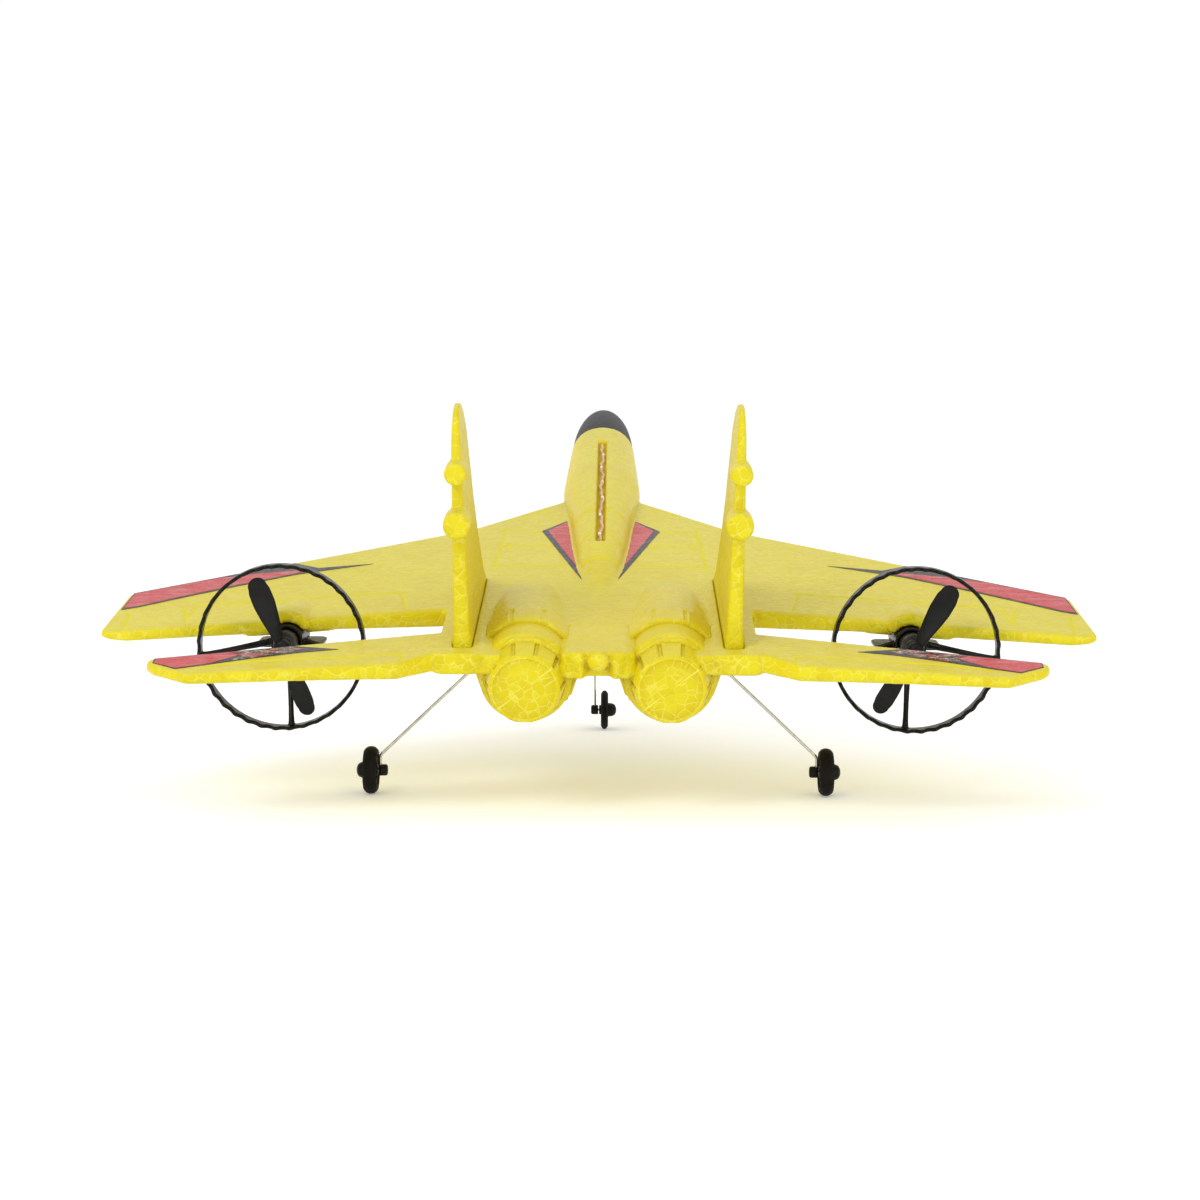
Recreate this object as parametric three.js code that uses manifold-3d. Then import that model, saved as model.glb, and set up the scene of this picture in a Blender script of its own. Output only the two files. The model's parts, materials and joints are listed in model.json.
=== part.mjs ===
// Twin-propeller foam jet model: a moulded foam airframe with two fins, a nose cone, two guarded
// pusher motors, wire landing gear on three free-rolling wheels, and a battery bay in the belly.
// Millimetres. Everything is modelled level, with X to the right wing, Y to the nose, Z up,
// Y = 0 at the nozzle ends and Z = 0 on the flat top of the deck. The last lines tip the model
// nose-up until all three tyres touch the ground, and centre it over the origin.
import * as THREE from 'three';
import { mergeVertices } from 'three/addons/utils/BufferGeometryUtils.js';
import Module from 'manifold-3d';

const wasm = await Module();
wasm.setup();

// ---------- driving dimensions ----------
const GAP = 0.3; // clearance between neighbouring pieces
const deck = { halfWidth: 44.6, rearY: 1.3, innerRearX: 27, midRearY: 20, thickness: 6 };
const wing = {
  innerX: -1, kinkX: 44, tipX: 140.6, noseY: 213.5, kinkY: 148.6, tipLeadY: 64.4,
  rootTrailY: 47.8, tipTrailY: 20.5, kinkThickness: 5.6, tipThickness: 3, rootThickness: 6,
};
const tail = {
  innerX: 38, tipX: 121.3, rootLeadY: 23.9, tipLeadY: -2.9, bendX: 54, bendY: -7.6,
  rearTipX: 109, rearTipY: -18.2, rootTrailY: 2.3, rootX: 45, rootThickness: 5.4, tipThickness: 2.8,
};
const fin = {
  rootX: 37.5, cant: THREE.MathUtils.degToRad(0.8), sink: 4,
  baseThickness: 4.7, topThickness: 2.5, rearY: 8.9, frontY: 84.3, topZ: 66.5,
};
const pods = [{ z: 50, radius: 3.05 }, { z: 36, radius: 3.8 }];
const nozzle = { x: 20.1, z: -9.5, endRadius: 9.4, bandRadius: 12.9, collarApothem: 14.4, sides: 10 };
const nose = { baseY: 268, tipY: 347, radius: 11.8, z: 0.7, wall: 1.2, spigotRadius: 9.8, spigot: 15 };
const lightSlot = { fromY: 108, toY: 243, width: 2.8, depth: 2.6 };
const bay = { halfWidth: 8.6, fromY: 108, toY: 160, roofZ: -2.2, floorZ: -15 };
const hatch = { halfWidth: 11, fromY: 103, toY: 165, thickness: 1.2, recess: 1.5 };
const thrust = { x: 89.2, y: 22, z: -4.2, tilt: THREE.MathUtils.degToRad(-6) };
const guard = { outer: 23.7, inner: 22.6, depth: 4, holderOuter: 4.7, holderInner: 3.8 };
const motor = { radius: 3.5, from: 5.5, to: 21.5, shaftRadius: 0.5 };
const propeller = { radius: 20.9, hubRadius: 2.3, hubFrom: -2, hubTo: 2.6 };
const wheel = { radius: 7, tyreInner: 4.6, boreRadius: 0.75 };
const wire = { radius: 0.45, socketRadius: 1.9, socketLength: 5 };
const mainAxle = { x: 66.8, y: 38.5, z: -46.6, tyreWidth: 4 };
const noseAxle = { x: 1.3, y: 188.1, z: -76.4, tyreWidth: 2.6 };
const noseLeg = { x: -2.2, topY: 194, topZ: -5, exitZ: -13.6 };
const collar = { radius: 1.7, length: 2.6, from: 2.3 };
const film = { lift: 0.3, thickness: 0.12 }; // decal films lie just clear of the foam

// ---------- materials ----------
const material = (color, roughness, metalness = 0) =>
  new THREE.MeshStandardMaterial({ color, roughness, metalness });
const foam = material(0xe9dc2c, 0.6);
const glossBlack = material(0x101114, 0.15);
const blackPlastic = material(0x141414, 0.4);
const blackTyre = material(0x0c0c0c, 0.6);
const steel = material(0xb9b7ae, 0.25, 1);
const motorSteel = material(0xc9c9cc, 0.3, 1);
const filmRed = material(0xb8323c, 0.2);
const board = material(0x1d5c35, 0.5);
const cellWrap = material(0x9aa3b5, 0.35);
const leadRed = material(0xb01818, 0.5);
const plugWhite = material(0xe8e6dc, 0.5);
const copper = material(0xc4703a, 0.35, 1);

const craft = new THREE.Group();

function addPart(name, geometry, finish, parent = craft) {
  const mesh = new THREE.Mesh(geometry, finish);
  mesh.name = name;
  parent.add(mesh);
  return mesh;
}

// ---------- solids ----------
function solidOf(geometry) {
  const bare = geometry.clone();
  bare.deleteAttribute('normal');
  bare.deleteAttribute('uv');
  const merged = mergeVertices(bare, 1e-4);
  const mesh = new wasm.Mesh({
    numProp: 3,
    vertProperties: new Float32Array(merged.attributes.position.array),
    triVerts: new Uint32Array(merged.index.array),
  });
  mesh.merge();
  return new wasm.Manifold(mesh);
}

function geometryOf(solid) {
  const mesh = solid.getMesh();
  const geometry = new THREE.BufferGeometry();
  geometry.setAttribute('position', new THREE.BufferAttribute(mesh.vertProperties, 3));
  geometry.setIndex(new THREE.BufferAttribute(mesh.triVerts, 1));
  geometry.computeVertexNormals();
  return geometry;
}

const join = (...shapes) => geometryOf(shapes.map(solidOf).reduce((a, b) => a.add(b)));
const cut = (shape, ...tools) => (
  geometryOf(tools.map(solidOf).reduce((a, b) => a.subtract(b), solidOf(shape))));

// A closed body through rings of points, all with the same number of points; convex ends.
function loft(rings) {
  const count = rings[0].length;
  const points = rings.flat();
  const faces = [];
  for (let r = 0; r < rings.length - 1; r += 1) {
    for (let i = 0; i < count; i += 1) {
      const a = r * count + i;
      const b = r * count + ((i + 1) % count);
      faces.push(a, b, b + count, a, b + count, a + count);
    }
  }
  const last = (rings.length - 1) * count;
  for (let i = 1; i < count - 1; i += 1) {
    faces.push(0, i + 1, i);
    faces.push(last, last + i, last + i + 1);
  }
  return outward(points, faces);
}

// Faces are turned so that the body's signed volume is positive.
function outward(points, faces) {
  let volume = 0;
  for (let i = 0; i < faces.length; i += 3) {
    const [a, b, c] = [points[faces[i]], points[faces[i + 1]], points[faces[i + 2]]];
    volume += a.dot(new THREE.Vector3().crossVectors(b, c));
  }
  if (volume < 0) faces.reverse();
  const geometry = new THREE.BufferGeometry().setFromPoints(points);
  geometry.setIndex(faces);
  return geometry;
}

function mirrored(geometry) {
  const copy = geometry.clone().scale(-1, 1, 1);
  copy.setIndex(Array.from(copy.index.array).reverse());
  return copy;
}

const point = (x, y, z) => new THREE.Vector3(x, y, z);
const mix = (a, b, t) => a + (b - a) * t;

// Reads a smooth or straight run of values at t from a short list of [t, value] pairs.
function along(pairs, t) {
  let i = 0;
  while (i < pairs.length - 2 && t > pairs[i + 1][0]) i += 1;
  const [[t0, v0], [t1, v1]] = [pairs[i], pairs[i + 1]];
  return mix(v0, v1, THREE.MathUtils.clamp((t - t0) / (t1 - t0), 0, 1));
}

// An oval ring across Y, round or squarer as the power rises, with its own top and bottom height.
function ovalRing(y, x, z, halfWidth, up, down, power = 2, sides = 28) {
  const ring = [];
  for (let i = 0; i < sides; i += 1) {
    const angle = (2 * Math.PI * (i + 0.5)) / sides;
    const c = Math.cos(angle);
    const s = Math.sin(angle);
    const rise = s > 0 ? up : down;
    ring.push(point(
      x + halfWidth * Math.sign(c) * Math.abs(c) ** (2 / power),
      y,
      z + rise * Math.sign(s) * Math.abs(s) ** (2 / power),
    ));
  }
  return ring;
}

// A flat-topped slab section from a leading edge to a trailing edge, with both edges rounded.
// place(chordwise, upward) turns a section point into a point of the body.
function slabRing(leadY, trailY, thickness, place, edge = 1.3) {
  const r = Math.min(thickness / 2 - 0.05, edge);
  const ring = [];
  const corner = (y, z, from) => {
    for (let i = 0; i <= 2; i += 1) {
      const a = THREE.MathUtils.degToRad(from + 45 * i);
      ring.push(place(y + r * Math.cos(a), z + r * Math.sin(a)));
    }
  };
  corner(leadY - r, -r, 0);
  corner(trailY + r * 0.6, -r, 90);
  corner(trailY + r * 0.6, -thickness + r, 180);
  corner(leadY - r, -thickness + r, 270);
  return ring;
}

// A round bar through points, mitred at each point.
function bar(points, radius, sides = 8) {
  const rings = points.map((p, i) => {
    const before = points[Math.max(i - 1, 0)];
    const after = points[Math.min(i + 1, points.length - 1)];
    const ahead = new THREE.Vector3().subVectors(after, before).normalize();
    return { p, ahead };
  });
  let side = point(0, 0, 1);
  if (Math.abs(rings[0].ahead.z) > 0.9) side = point(1, 0, 0);
  return loft(rings.map(({ p, ahead }) => {
    side = side.clone().addScaledVector(ahead, -side.dot(ahead)).normalize();
    const other = new THREE.Vector3().crossVectors(ahead, side);
    return Array.from({ length: sides }, (_, i) => {
      const a = (2 * Math.PI * i) / sides;
      const across = side.clone().multiplyScalar(radius * Math.cos(a));
      return p.clone().add(across).addScaledVector(other, radius * Math.sin(a));
    });
  }));
}

// Rounds each inner corner of a bent wire's route.
function bentRoute(corners, radius) {
  const route = [corners[0]];
  for (let i = 1; i < corners.length - 1; i += 1) {
    const back = new THREE.Vector3().subVectors(corners[i - 1], corners[i]).normalize();
    const on = new THREE.Vector3().subVectors(corners[i + 1], corners[i]).normalize();
    const start = corners[i].clone().addScaledVector(back, radius);
    const end = corners[i].clone().addScaledVector(on, radius);
    const bend = new THREE.QuadraticBezierCurve3(start, corners[i], end);
    route.push(...bend.getPoints(4));
  }
  route.push(corners[corners.length - 1]);
  return route;
}

// A turned body about the Y axis; profile pairs are [radius, y].
function turned(profile, sides = 24) {
  const lathe = new THREE.LatheGeometry(profile.map(([r, y]) => new THREE.Vector2(r, y)), sides);
  const solid = solidOf(lathe);
  return geometryOf(solid.volume() < 0 ? solidOf(mirroredIndex(lathe)) : solid);
}

function mirroredIndex(geometry) {
  const copy = geometry.clone();
  copy.setIndex(Array.from(copy.index.array).reverse());
  return copy;
}

// The same, about the X axis, for wheels.
const turnedX = (profile, sides) => turned(profile, sides).rotateZ(-Math.PI / 2);

// A flat outline in X and Y, with the given bottom and top.
function plate(outline, bottom, top) {
  const shape = new THREE.Shape(outline.map(([x, y]) => new THREE.Vector2(x, y)));
  const depth = top - bottom;
  return new THREE.ExtrudeGeometry(shape, { depth, bevelEnabled: false }).translate(0, 0, bottom);
}

function block(x0, x1, y0, y1, z0, z1) {
  return new THREE.BoxGeometry(x1 - x0, y1 - y0, z1 - z0)
    .translate((x0 + x1) / 2, (y0 + y1) / 2, (z0 + z1) / 2);
}

function roundedOutline(x0, x1, y0, y1, radius, steps = 3) {
  const outline = [];
  const centres = [[x1 - radius, y1 - radius, 0], [x0 + radius, y1 - radius, 90],
    [x0 + radius, y0 + radius, 180], [x1 - radius, y0 + radius, 270]];
  centres.forEach(([x, y, from]) => {
    for (let i = 0; i <= steps; i += 1) {
      const a = THREE.MathUtils.degToRad(from + (90 * i) / steps);
      outline.push([x + radius * Math.cos(a), y + radius * Math.sin(a)]);
    }
  });
  return outline;
}

// ---------- airframe ----------
const wingLead = (x) => (x < wing.kinkX
  ? mix(wing.noseY, wing.kinkY, (x - wing.innerX) / (wing.kinkX - wing.innerX))
  : mix(wing.kinkY, wing.tipLeadY, (x - wing.kinkX) / (wing.tipX - wing.kinkX)));
const wingTrail = (x) => mix(wing.rootTrailY, wing.tipTrailY, Math.max(0, x - 45) / (wing.tipX - 45));
const wingThickness = (x) => along([[wing.innerX, wing.rootThickness], [wing.kinkX, wing.kinkThickness],
  [75, 4.2], [wing.tipX, wing.tipThickness]], x);

function wingShape() {
  const stations = [wing.innerX, wing.kinkX, 75, 110, 134, 138, wing.tipX];
  return loft(stations.map((x) => {
    const shrink = Math.max(0, x - 134) / (wing.tipX - 134);
    const round = 3.5 * shrink * shrink;
    return slabRing(wingLead(x) - round * 0.6, wingTrail(x) + round, wingThickness(x) - shrink * 0.6,
      (y, z) => point(x, y, z));
  }));
}

function tailplaneShape() {
  const lead = (x) => mix(tail.rootLeadY, tail.tipLeadY, (x - tail.rootX) / (tail.tipX - tail.rootX));
  const trailPoints = [[tail.innerX, 3.5], [tail.rootX, tail.rootTrailY], [tail.bendX, tail.bendY],
    [tail.rearTipX, tail.rearTipY], [tail.tipX - 2.2, tail.tipLeadY - 8], [tail.tipX, tail.tipLeadY - 4.5]];
  const thickness = (x) => along(
    [[tail.rootX, tail.rootThickness], [60, 4.2], [tail.tipX, tail.tipThickness]], x);
  const stations = [tail.innerX, tail.rootX, tail.bendX, 75, 95, tail.rearTipX, tail.tipX - 2.2, tail.tipX];
  return loft(stations.map((x) => {
    const nearTip = x > tail.tipX - 1 ? 1.2 : 0;
    return slabRing(lead(x) - nearTip, along(trailPoints, x), thickness(x), (y, z) => point(x, y, z));
  }));
}

function deckShape() {
  const { halfWidth, rearY, innerRearX, midRearY, thickness } = deck;
  const half = [[halfWidth, 60], [halfWidth, rearY + 1], [halfWidth - 1, rearY], [innerRearX, rearY],
    [innerRearX, midRearY], [0, midRearY]];
  const outline = [...half, ...half.slice(0, -1).reverse().map(([x, y]) => [-x, y])];
  return plate(outline.reverse(), -thickness, 0);
}

// Spine and forward fuselage: [y, half width, top, bottom].
const fuselageStations = [
  [70, 2.2, -0.8, -6], [74, 3.9, 0.2, -9], [81, 5.5, 1.4, -12], [90, 6.4, 3.1, -14.6], [98, 7, 4.8, -15],
  [108, 7.7, 6.4, -15], [125, 8.8, 7.9, -15], [150, 10, 9.5, -15], [170, 11.6, 10.4, -15],
  [200, 13.7, 11.5, -13.8], [235, 12.9, 12.1, -12.3], [nose.baseY, 12.1, 12.6, -11.2],
];

function fuselageShape() {
  return loft(fuselageStations.map(([y, halfWidth, top, bottom]) => {
    const middle = along([[73, -2], [190, 0], [nose.baseY, nose.z]], y);
    return ovalRing(y, 0, middle, halfWidth, top - middle, middle - bottom, 2.15, 26);
  }));
}

// The flat-bottomed keel that holds the battery bay, between the two trunks.
function keelShape() {
  const half = hatch.halfWidth + 2.4;
  const keel = [[hatch.fromY - 26, half - 5, -8], [hatch.fromY - 6, half, bay.floorZ],
    [hatch.toY + 4, half, bay.floorZ], [hatch.toY + 22, half - 4, -9]];
  return loft(keel.map(([y, halfWidth, bottom]) => [point(-halfWidth, y, -3), point(halfWidth, y, -3),
    point(halfWidth, y, bottom + 1.5), point(halfWidth - 1.5, y, bottom),
    point(-halfWidth + 1.5, y, bottom), point(-halfWidth, y, bottom + 1.5)]));
}

function spigotShape() {
  const end = nose.baseY + nose.spigot;
  return turned([[0, nose.baseY - 3], [nose.spigotRadius, nose.baseY - 3], [nose.spigotRadius, end - 2],
    [nose.spigotRadius - 2, end], [0, end]], 24).translate(0, 0, nose.z);
}

// Engine trunks: a squarish intake at the front runs back to a round section under the deck,
// rising through it as a hump. [y, half width, top, bottom, squareness]
const trunkStations = [
  [152, 11, -3, -17.5, 5], [146, 11.6, -2.5, -20, 5], [120, 12.4, -2, -22, 4],
  [85, 13.4, -1, -23.4, 2.8], [74, 13.8, 0.8, -23.7, 2.4], [60, 14.2, 2.9, -23.9, 2.1],
  [46, 14.5, 4.2, -24.1, 2], [30, 14.7, 5.1, -24.2, 2],
];

function trunkShape() {
  return loft(trunkStations.map(([y, halfWidth, top, bottom, power]) => {
    const middle = (top + bottom) / 2;
    const x = nozzle.x + along([[30, 0], [150, 1.6]], y);
    return ovalRing(y, x, middle, halfWidth, top - middle, middle - bottom, power, 26);
  }));
}

// A ring of flat facets about the nozzle axis, one facet level on top.
function facetRing(y, apothem) {
  const radius = apothem / Math.cos(Math.PI / nozzle.sides);
  return Array.from({ length: nozzle.sides }, (_, i) => {
    const a = Math.PI / 2 + ((i + 0.5) * 2 * Math.PI) / nozzle.sides;
    return point(nozzle.x + radius * Math.cos(a), y, nozzle.z + radius * Math.sin(a));
  });
}

function nozzleShape() {
  const collarPiece = loft([facetRing(20, nozzle.collarApothem), facetRing(30.5, nozzle.collarApothem + 0.2),
    facetRing(36, nozzle.collarApothem - 1.2)]);
  const band = turned([[0, 8.6], [11.7, 8.6], [12.4, 9.4], [nozzle.bandRadius, 14],
    [nozzle.bandRadius + 0.2, 24], [0, 24]], 30).translate(nozzle.x, 0, nozzle.z);
  const petals = loft([facetRing(0.8, nozzle.endRadius + 0.1), facetRing(10, 11.3)]);
  const disc = turned([[0, 0], [nozzle.endRadius - 0.4, 0], [nozzle.endRadius, 0.4],
    [nozzle.endRadius + 0.2, 2], [0, 2]], 30).translate(nozzle.x, 0, nozzle.z);
  return join(collarPiece, band, petals, disc);
}

// Between the nozzles: a block with chamfered cheeks around a small round tail cone.
function tailCentreShape() {
  const cheeks = plate([[-9.5, 4], [-7.5, 3], [-4.2, 3], [-3, 6], [3, 6], [4.2, 3], [7.5, 3], [9.5, 4],
    [9.5, 22], [-9.5, 22]], -7.6, -0.02);
  const belly = plate([[-9.2, 14], [9.2, 14], [9.2, 74], [-9.2, 74]], -10, -0.04);
  const cone = new THREE.SphereGeometry(2.9, 16, 10).translate(0, 4.6, -2.2);
  return join(cheeks, belly, cone);
}

// A foam hump over each motor at the wing's trailing edge, with a shallow pad beneath.
function motorSeatShape() {
  const hump = loft([[33.6, 6.4, 3.1], [40, 6.4, 3.1], [50, 5.2, 1.6], [60, 3, -0.3]].map(
    ([y, halfWidth, top]) => ovalRing(y, thrust.x, -2, halfWidth, top + 2, 1, 2, 16)));
  const pad = loft([[-4.4, 11.6, 61], [-2, 13.6, 64]].map(([z, halfWidth, front]) => [
    point(thrust.x - halfWidth, wingTrail(thrust.x - halfWidth) + 0.4, z),
    point(thrust.x + halfWidth, wingTrail(thrust.x + halfWidth) + 0.4, z),
    point(thrust.x + halfWidth, front, z),
    point(thrust.x - halfWidth, front, z),
  ]));
  return join(hump, pad);
}

// Pieces of one thrust unit are made about the propeller's centre and set in place together.
const inPlace = (geometry) => geometry.clone().rotateX(thrust.tilt).translate(thrust.x, thrust.y, thrust.z);

// The cut that the motor holder and its flange need in the wing.
function motorPocket() {
  const radius = guard.holderOuter + GAP;
  const round = turned([[0, 6], [radius, 6], [radius, 25.5], [0, 25.5]], 20);
  const open = block(-radius, radius, 6, 25.5, -12, 0);
  return inPlace(join(round, open));
}

const motorLeadRoute = [
  point(thrust.x - 1, 49.5, -4.9), point(thrust.x - 4, 53, -4.9), point(78, 58, -4.7),
  point(60, 63, -5), point(46, 65, -5.7), point(38, 66, -6.6), point(31, 66, -7.4),
];

function finOutline(z) {
  const lead = along([[-fin.sink, fin.frontY], [0, fin.frontY], [9, 73.2], [22, 59], [36, 47], [49, 38],
    [58, 31.5], [63, 26], [65.6, 21.5], [fin.topZ, 17]], z);
  const trail = along([[-fin.sink, fin.rearY], [0, fin.rearY], [20, 7.4], [50, 5.8], [60, 7], [64.6, 8.6],
    [fin.topZ, 12.5]], z);
  return { lead, trail };
}

function finRing(z, grow = 0) {
  const { lead, trail } = finOutline(z);
  const thickness = along([[0, fin.baseThickness], [36, 3.4], [60, fin.topThickness],
    [fin.topZ, fin.topThickness - 1]], z) + 2 * grow;
  const x = fin.rootX + Math.tan(fin.cant) * z;
  return slabRing(lead + grow, trail - grow, thickness, (y, t) => point(x + t + thickness / 2, y, z), 1.1);
}

function finShape() {
  const heights = [-fin.sink, 0, 9, 22, 36, 49, 58, 63, 65.6, fin.topZ];
  const blade = loft(heights.map((z) => finRing(z)));
  const tubes = pods.map(({ z, radius }) => turned([[0, 0], [radius * 0.86, 0], [radius, 0.6], [radius, 8],
    [radius * 0.72, 13], [0, 17]], 18).translate(fin.rootX + Math.tan(fin.cant) * z, 0, z));
  return join(blade, ...tubes);
}

function finSlot() {
  const mouth = finRing(0, GAP);
  return loft([finRing(-fin.sink - GAP, GAP), mouth, mouth.map((p) => p.clone().setZ(1))]);
}

const mainWireRoute = bentRoute([point(26.6, mainAxle.y, -5.7), point(64, mainAxle.y, -42),
  point(64, mainAxle.y, mainAxle.z), point(mainAxle.x + 3.2, mainAxle.y, mainAxle.z)], 1.1);
const noseWireRoute = bentRoute([point(noseLeg.x, noseLeg.topY, noseLeg.topZ),
  point(noseLeg.x, noseAxle.y, noseAxle.z), point(noseAxle.x + 3.2, noseAxle.y, noseAxle.z)], 1.1);

// A plastic socket where a gear wire leaves the foam; "grow" widens it into the cut for it.
function socketShape(exit, inward, grow = 0) {
  const end = exit.clone().addScaledVector(inward, wire.socketLength + grow);
  const start = exit.clone().addScaledVector(inward, -0.8 - grow * 2);
  return bar([start, end], wire.socketRadius + grow, 12);
}

const mainInward = new THREE.Vector3().subVectors(mainWireRoute[0], mainWireRoute[1]).normalize();
const noseInward = new THREE.Vector3().subVectors(noseWireRoute[0], noseWireRoute[1]).normalize();
const mainExit = point(64, mainAxle.y, -42).addScaledVector(mainInward, 42.6);
const noseExit = point(noseLeg.x, 0, noseLeg.exitZ);
noseExit.y = mix(noseLeg.topY, noseAxle.y, (noseLeg.topZ - noseLeg.exitZ) / (noseLeg.topZ - noseAxle.z));

function lightSlotCut() {
  const half = lightSlot.width / 2;
  const depthAt = (y) => fuselageTop(y) - lightSlot.depth;
  const stops = [lightSlot.fromY, 125, 150, 200, lightSlot.toY];
  return loft(stops.map((y) => [point(-half, y, depthAt(y)), point(half, y, depthAt(y)),
    point(half, y, 16), point(-half, y, 16)]));
}

const fuselageTop = (y) => along(fuselageStations.map(([at, , top]) => [at, top]), y);

function airframeShape() {
  const rightHalf = [wingShape(), tailplaneShape(), trunkShape(), nozzleShape(), motorSeatShape()];
  const whole = join(deckShape(), fuselageShape(), keelShape(), spigotShape(), tailCentreShape(),
    ...rightHalf, ...rightHalf.map(mirrored));
  const rightCuts = [finSlot(), motorPocket(), bar(mainWireRoute.slice(0, 2), wire.radius + GAP, 8),
    socketShape(mainExit, mainInward, GAP), bar(motorLeadRoute, 0.6 + GAP, 8)];
  const bayCut = block(-bay.halfWidth, bay.halfWidth, bay.fromY, bay.toY, bay.floorZ - 3, bay.roofZ);
  const hatchSeat = plate(roundedOutline(-hatch.halfWidth - GAP, hatch.halfWidth + GAP, hatch.fromY - GAP,
    hatch.toY + GAP, 3), bay.floorZ - 12, bay.floorZ + hatch.recess);
  const screwHoles = hatchScrewYs.map((y) => turned([[0, 0], [0.9, 0], [0.9, 8], [0, 8]], 12)
    .rotateX(Math.PI / 2).translate(0, y, bay.floorZ));
  return cut(whole, ...rightCuts, ...rightCuts.map(mirrored), bayCut, hatchSeat, ...screwHoles,
    lightSlotCut(), bar(noseWireRoute.slice(0, 2), wire.radius + GAP, 8),
    socketShape(noseExit, noseInward, GAP));
}

// ---------- belly bay ----------
const hatchScrewYs = [105.4, 162.6];
const hatchBottom = bay.floorZ - 0.1;
const hatchTop = hatchBottom + hatch.thickness;
const switchY = 118; // the slider's place with the power off; it travels 2 mm towards the nose

function hatchShape() {
  const cover = plate(roundedOutline(-hatch.halfWidth, hatch.halfWidth, hatch.fromY, hatch.toY, 2.7),
    hatchBottom, hatchTop);
  const slot = block(-1.3, 1.3, switchY - 1.7, switchY + 3.7, hatchBottom - 1, hatchTop + 1);
  const socketHole = block(-3.2, 3.2, 127.6, 132.4, hatchBottom - 1, hatchTop + 1);
  const holes = hatchScrewYs.map((y) => turned([[0, -3], [0.9, -3], [0.9, 3], [0, 3]], 12)
    .rotateX(Math.PI / 2).translate(0, y, hatchTop));
  return cut(cover, slot, socketHole, ...holes);
}

function screwShape() {
  return turned([[0, 0], [1.3, 0], [1.6, 0.5], [1.6, 0.9], [0.6, 0.9], [0.6, 6.2], [0, 6.8]], 14)
    .rotateX(Math.PI / 2);
}

function addBay() {
  addPart('battery_hatch', hatchShape(), blackPlastic);
  hatchScrewYs.forEach((y, i) => {
    const mesh = addPart(`hatch_screw_${['rear', 'front'][i]}`, screwShape(), steel);
    mesh.position.set(0, y, hatchBottom - 0.9 - GAP);
  });
  const boardZ = hatchTop + 2.9;
  // [x0, x1, y0, y1, height] of each chip on the board
  const chips = [[-6, -1, 136, 141, 2], [2, 6, 137, 141, 1.7], [-6.5, -3.5, 111, 114, 1.9],
    [2.5, 6.5, 112.5, 115, 1.8]].map(([x0, x1, y0, y1, height]) => (
    block(x0, x1, y0, y1, boardZ - 0.1, boardZ + height)));
  addPart('receiver_board', join(block(-8, 8, 109, 144, boardZ, boardZ + 1), ...chips), board);
  const batteryBottom = boardZ + 2.4;
  const cell = plate(roundedOutline(-7.4, 7.4, 112, 146, 1.2), batteryBottom, bay.roofZ - GAP);
  addPart('battery_cell', cell, cellWrap);
  const switchCan = block(-2.2, 2.2, switchY - 3.2, switchY + 5.2, hatchTop + GAP, boardZ - GAP);
  const switchMouth = block(-1.1, 1.1, switchY - 1.5, switchY + 3.5, hatchTop, boardZ - 0.9);
  addPart('power_switch_body', cut(switchCan, switchMouth), motorSteel);
  addPart('power_switch_slider', block(-0.8, 0.8, switchY - 1.1, switchY + 1.1, hatchBottom - 1.1,
    hatchTop + 1.1), plugWhite);
  addPart('charge_socket', cut(block(-2.9, 2.9, 127.9, 132.1, hatchBottom + 0.1, boardZ - GAP),
    block(-2.1, 2.1, 128.6, 131.4, hatchBottom - 1, hatchBottom + 2.4)), plugWhite);
  const plugZ = boardZ + 2;
  addPart('battery_plug', block(-3.2, 3.2, 150.4, 156.6, plugZ - 2.4, plugZ + 1.8), plugWhite);
  ['red', 'black'].forEach((color, i) => {
    const x = i === 0 ? -1.3 : 1.3;
    const route = [point(x, 146.4, plugZ + 2.9), point(x, 148, plugZ + 2.4), point(x, 149, plugZ),
      point(x, 150, plugZ - 0.2)];
    addPart(`battery_lead_${color}`, bar(route, 0.5, 8), i === 0 ? leadRed : blackPlastic);
  });
}

// ---------- thrust units ----------
// Holder tube, flange, three raked spokes and the guard ring are one moulding.
function guardShape() {
  const ring = turned([[guard.inner, -guard.depth / 2], [guard.outer, -guard.depth / 2],
    [guard.outer, guard.depth / 2], [guard.inner, guard.depth / 2], [guard.inner, -guard.depth / 2]], 40);
  const tube = turned([[guard.holderInner, 8.5], [guard.holderOuter, 8.5], [guard.holderOuter, 24.5],
    [guard.holderInner, 24.5], [guard.holderInner, 8.5]], 20);
  const flange = cut(plate(roundedOutline(-9.6, 9.6, 12.5, 26, 2), 0.15, 1.15).translate(0, 0, -2.6),
    block(-guard.holderInner, guard.holderInner, 8, 28, -5, 5));
  const spokes = [[-22.95, -2.6], [22.95, -2.6], [-2.3, -23]].map(([x, z]) => {
    const reach = Math.hypot(x, z);
    const start = point((x / reach) * 4.3, 11.4, (z / reach) * 4.3);
    return bar([start, point(x, 0.2, z)], 0.75, 6);
  });
  return join(ring, tube, flange, ...spokes);
}

function motorShape() {
  const can = turned([[0, motor.to], [motor.radius - 0.4, motor.to], [motor.radius, motor.to - 0.4],
    [motor.radius, motor.from + 0.4], [motor.radius - 0.4, motor.from], [1.6, motor.from],
    [1.6, motor.from - 0.9], [0, motor.from - 0.9]], 24);
  return cut(can, turned([[0, 3], [0.8, 3], [0.8, motor.from + 3], [0, motor.from + 3]], 12));
}

const shaftShape = () => turned([[0, -1], [motor.shaftRadius, -1], [motor.shaftRadius, 8], [0, 8]], 10);

// One blade along +X before the hub is turned to its rest angle: [radius, chord, pitch in degrees].
const bladeStations = [[1.6, 3.2, 40], [5, 4.2, 36], [9, 5.5, 30], [13, 6.4, 25], [17, 6.2, 21],
  [19.3, 4.8, 19], [20.5, 2.6, 18], [propeller.radius, 1.2, 18]];

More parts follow.
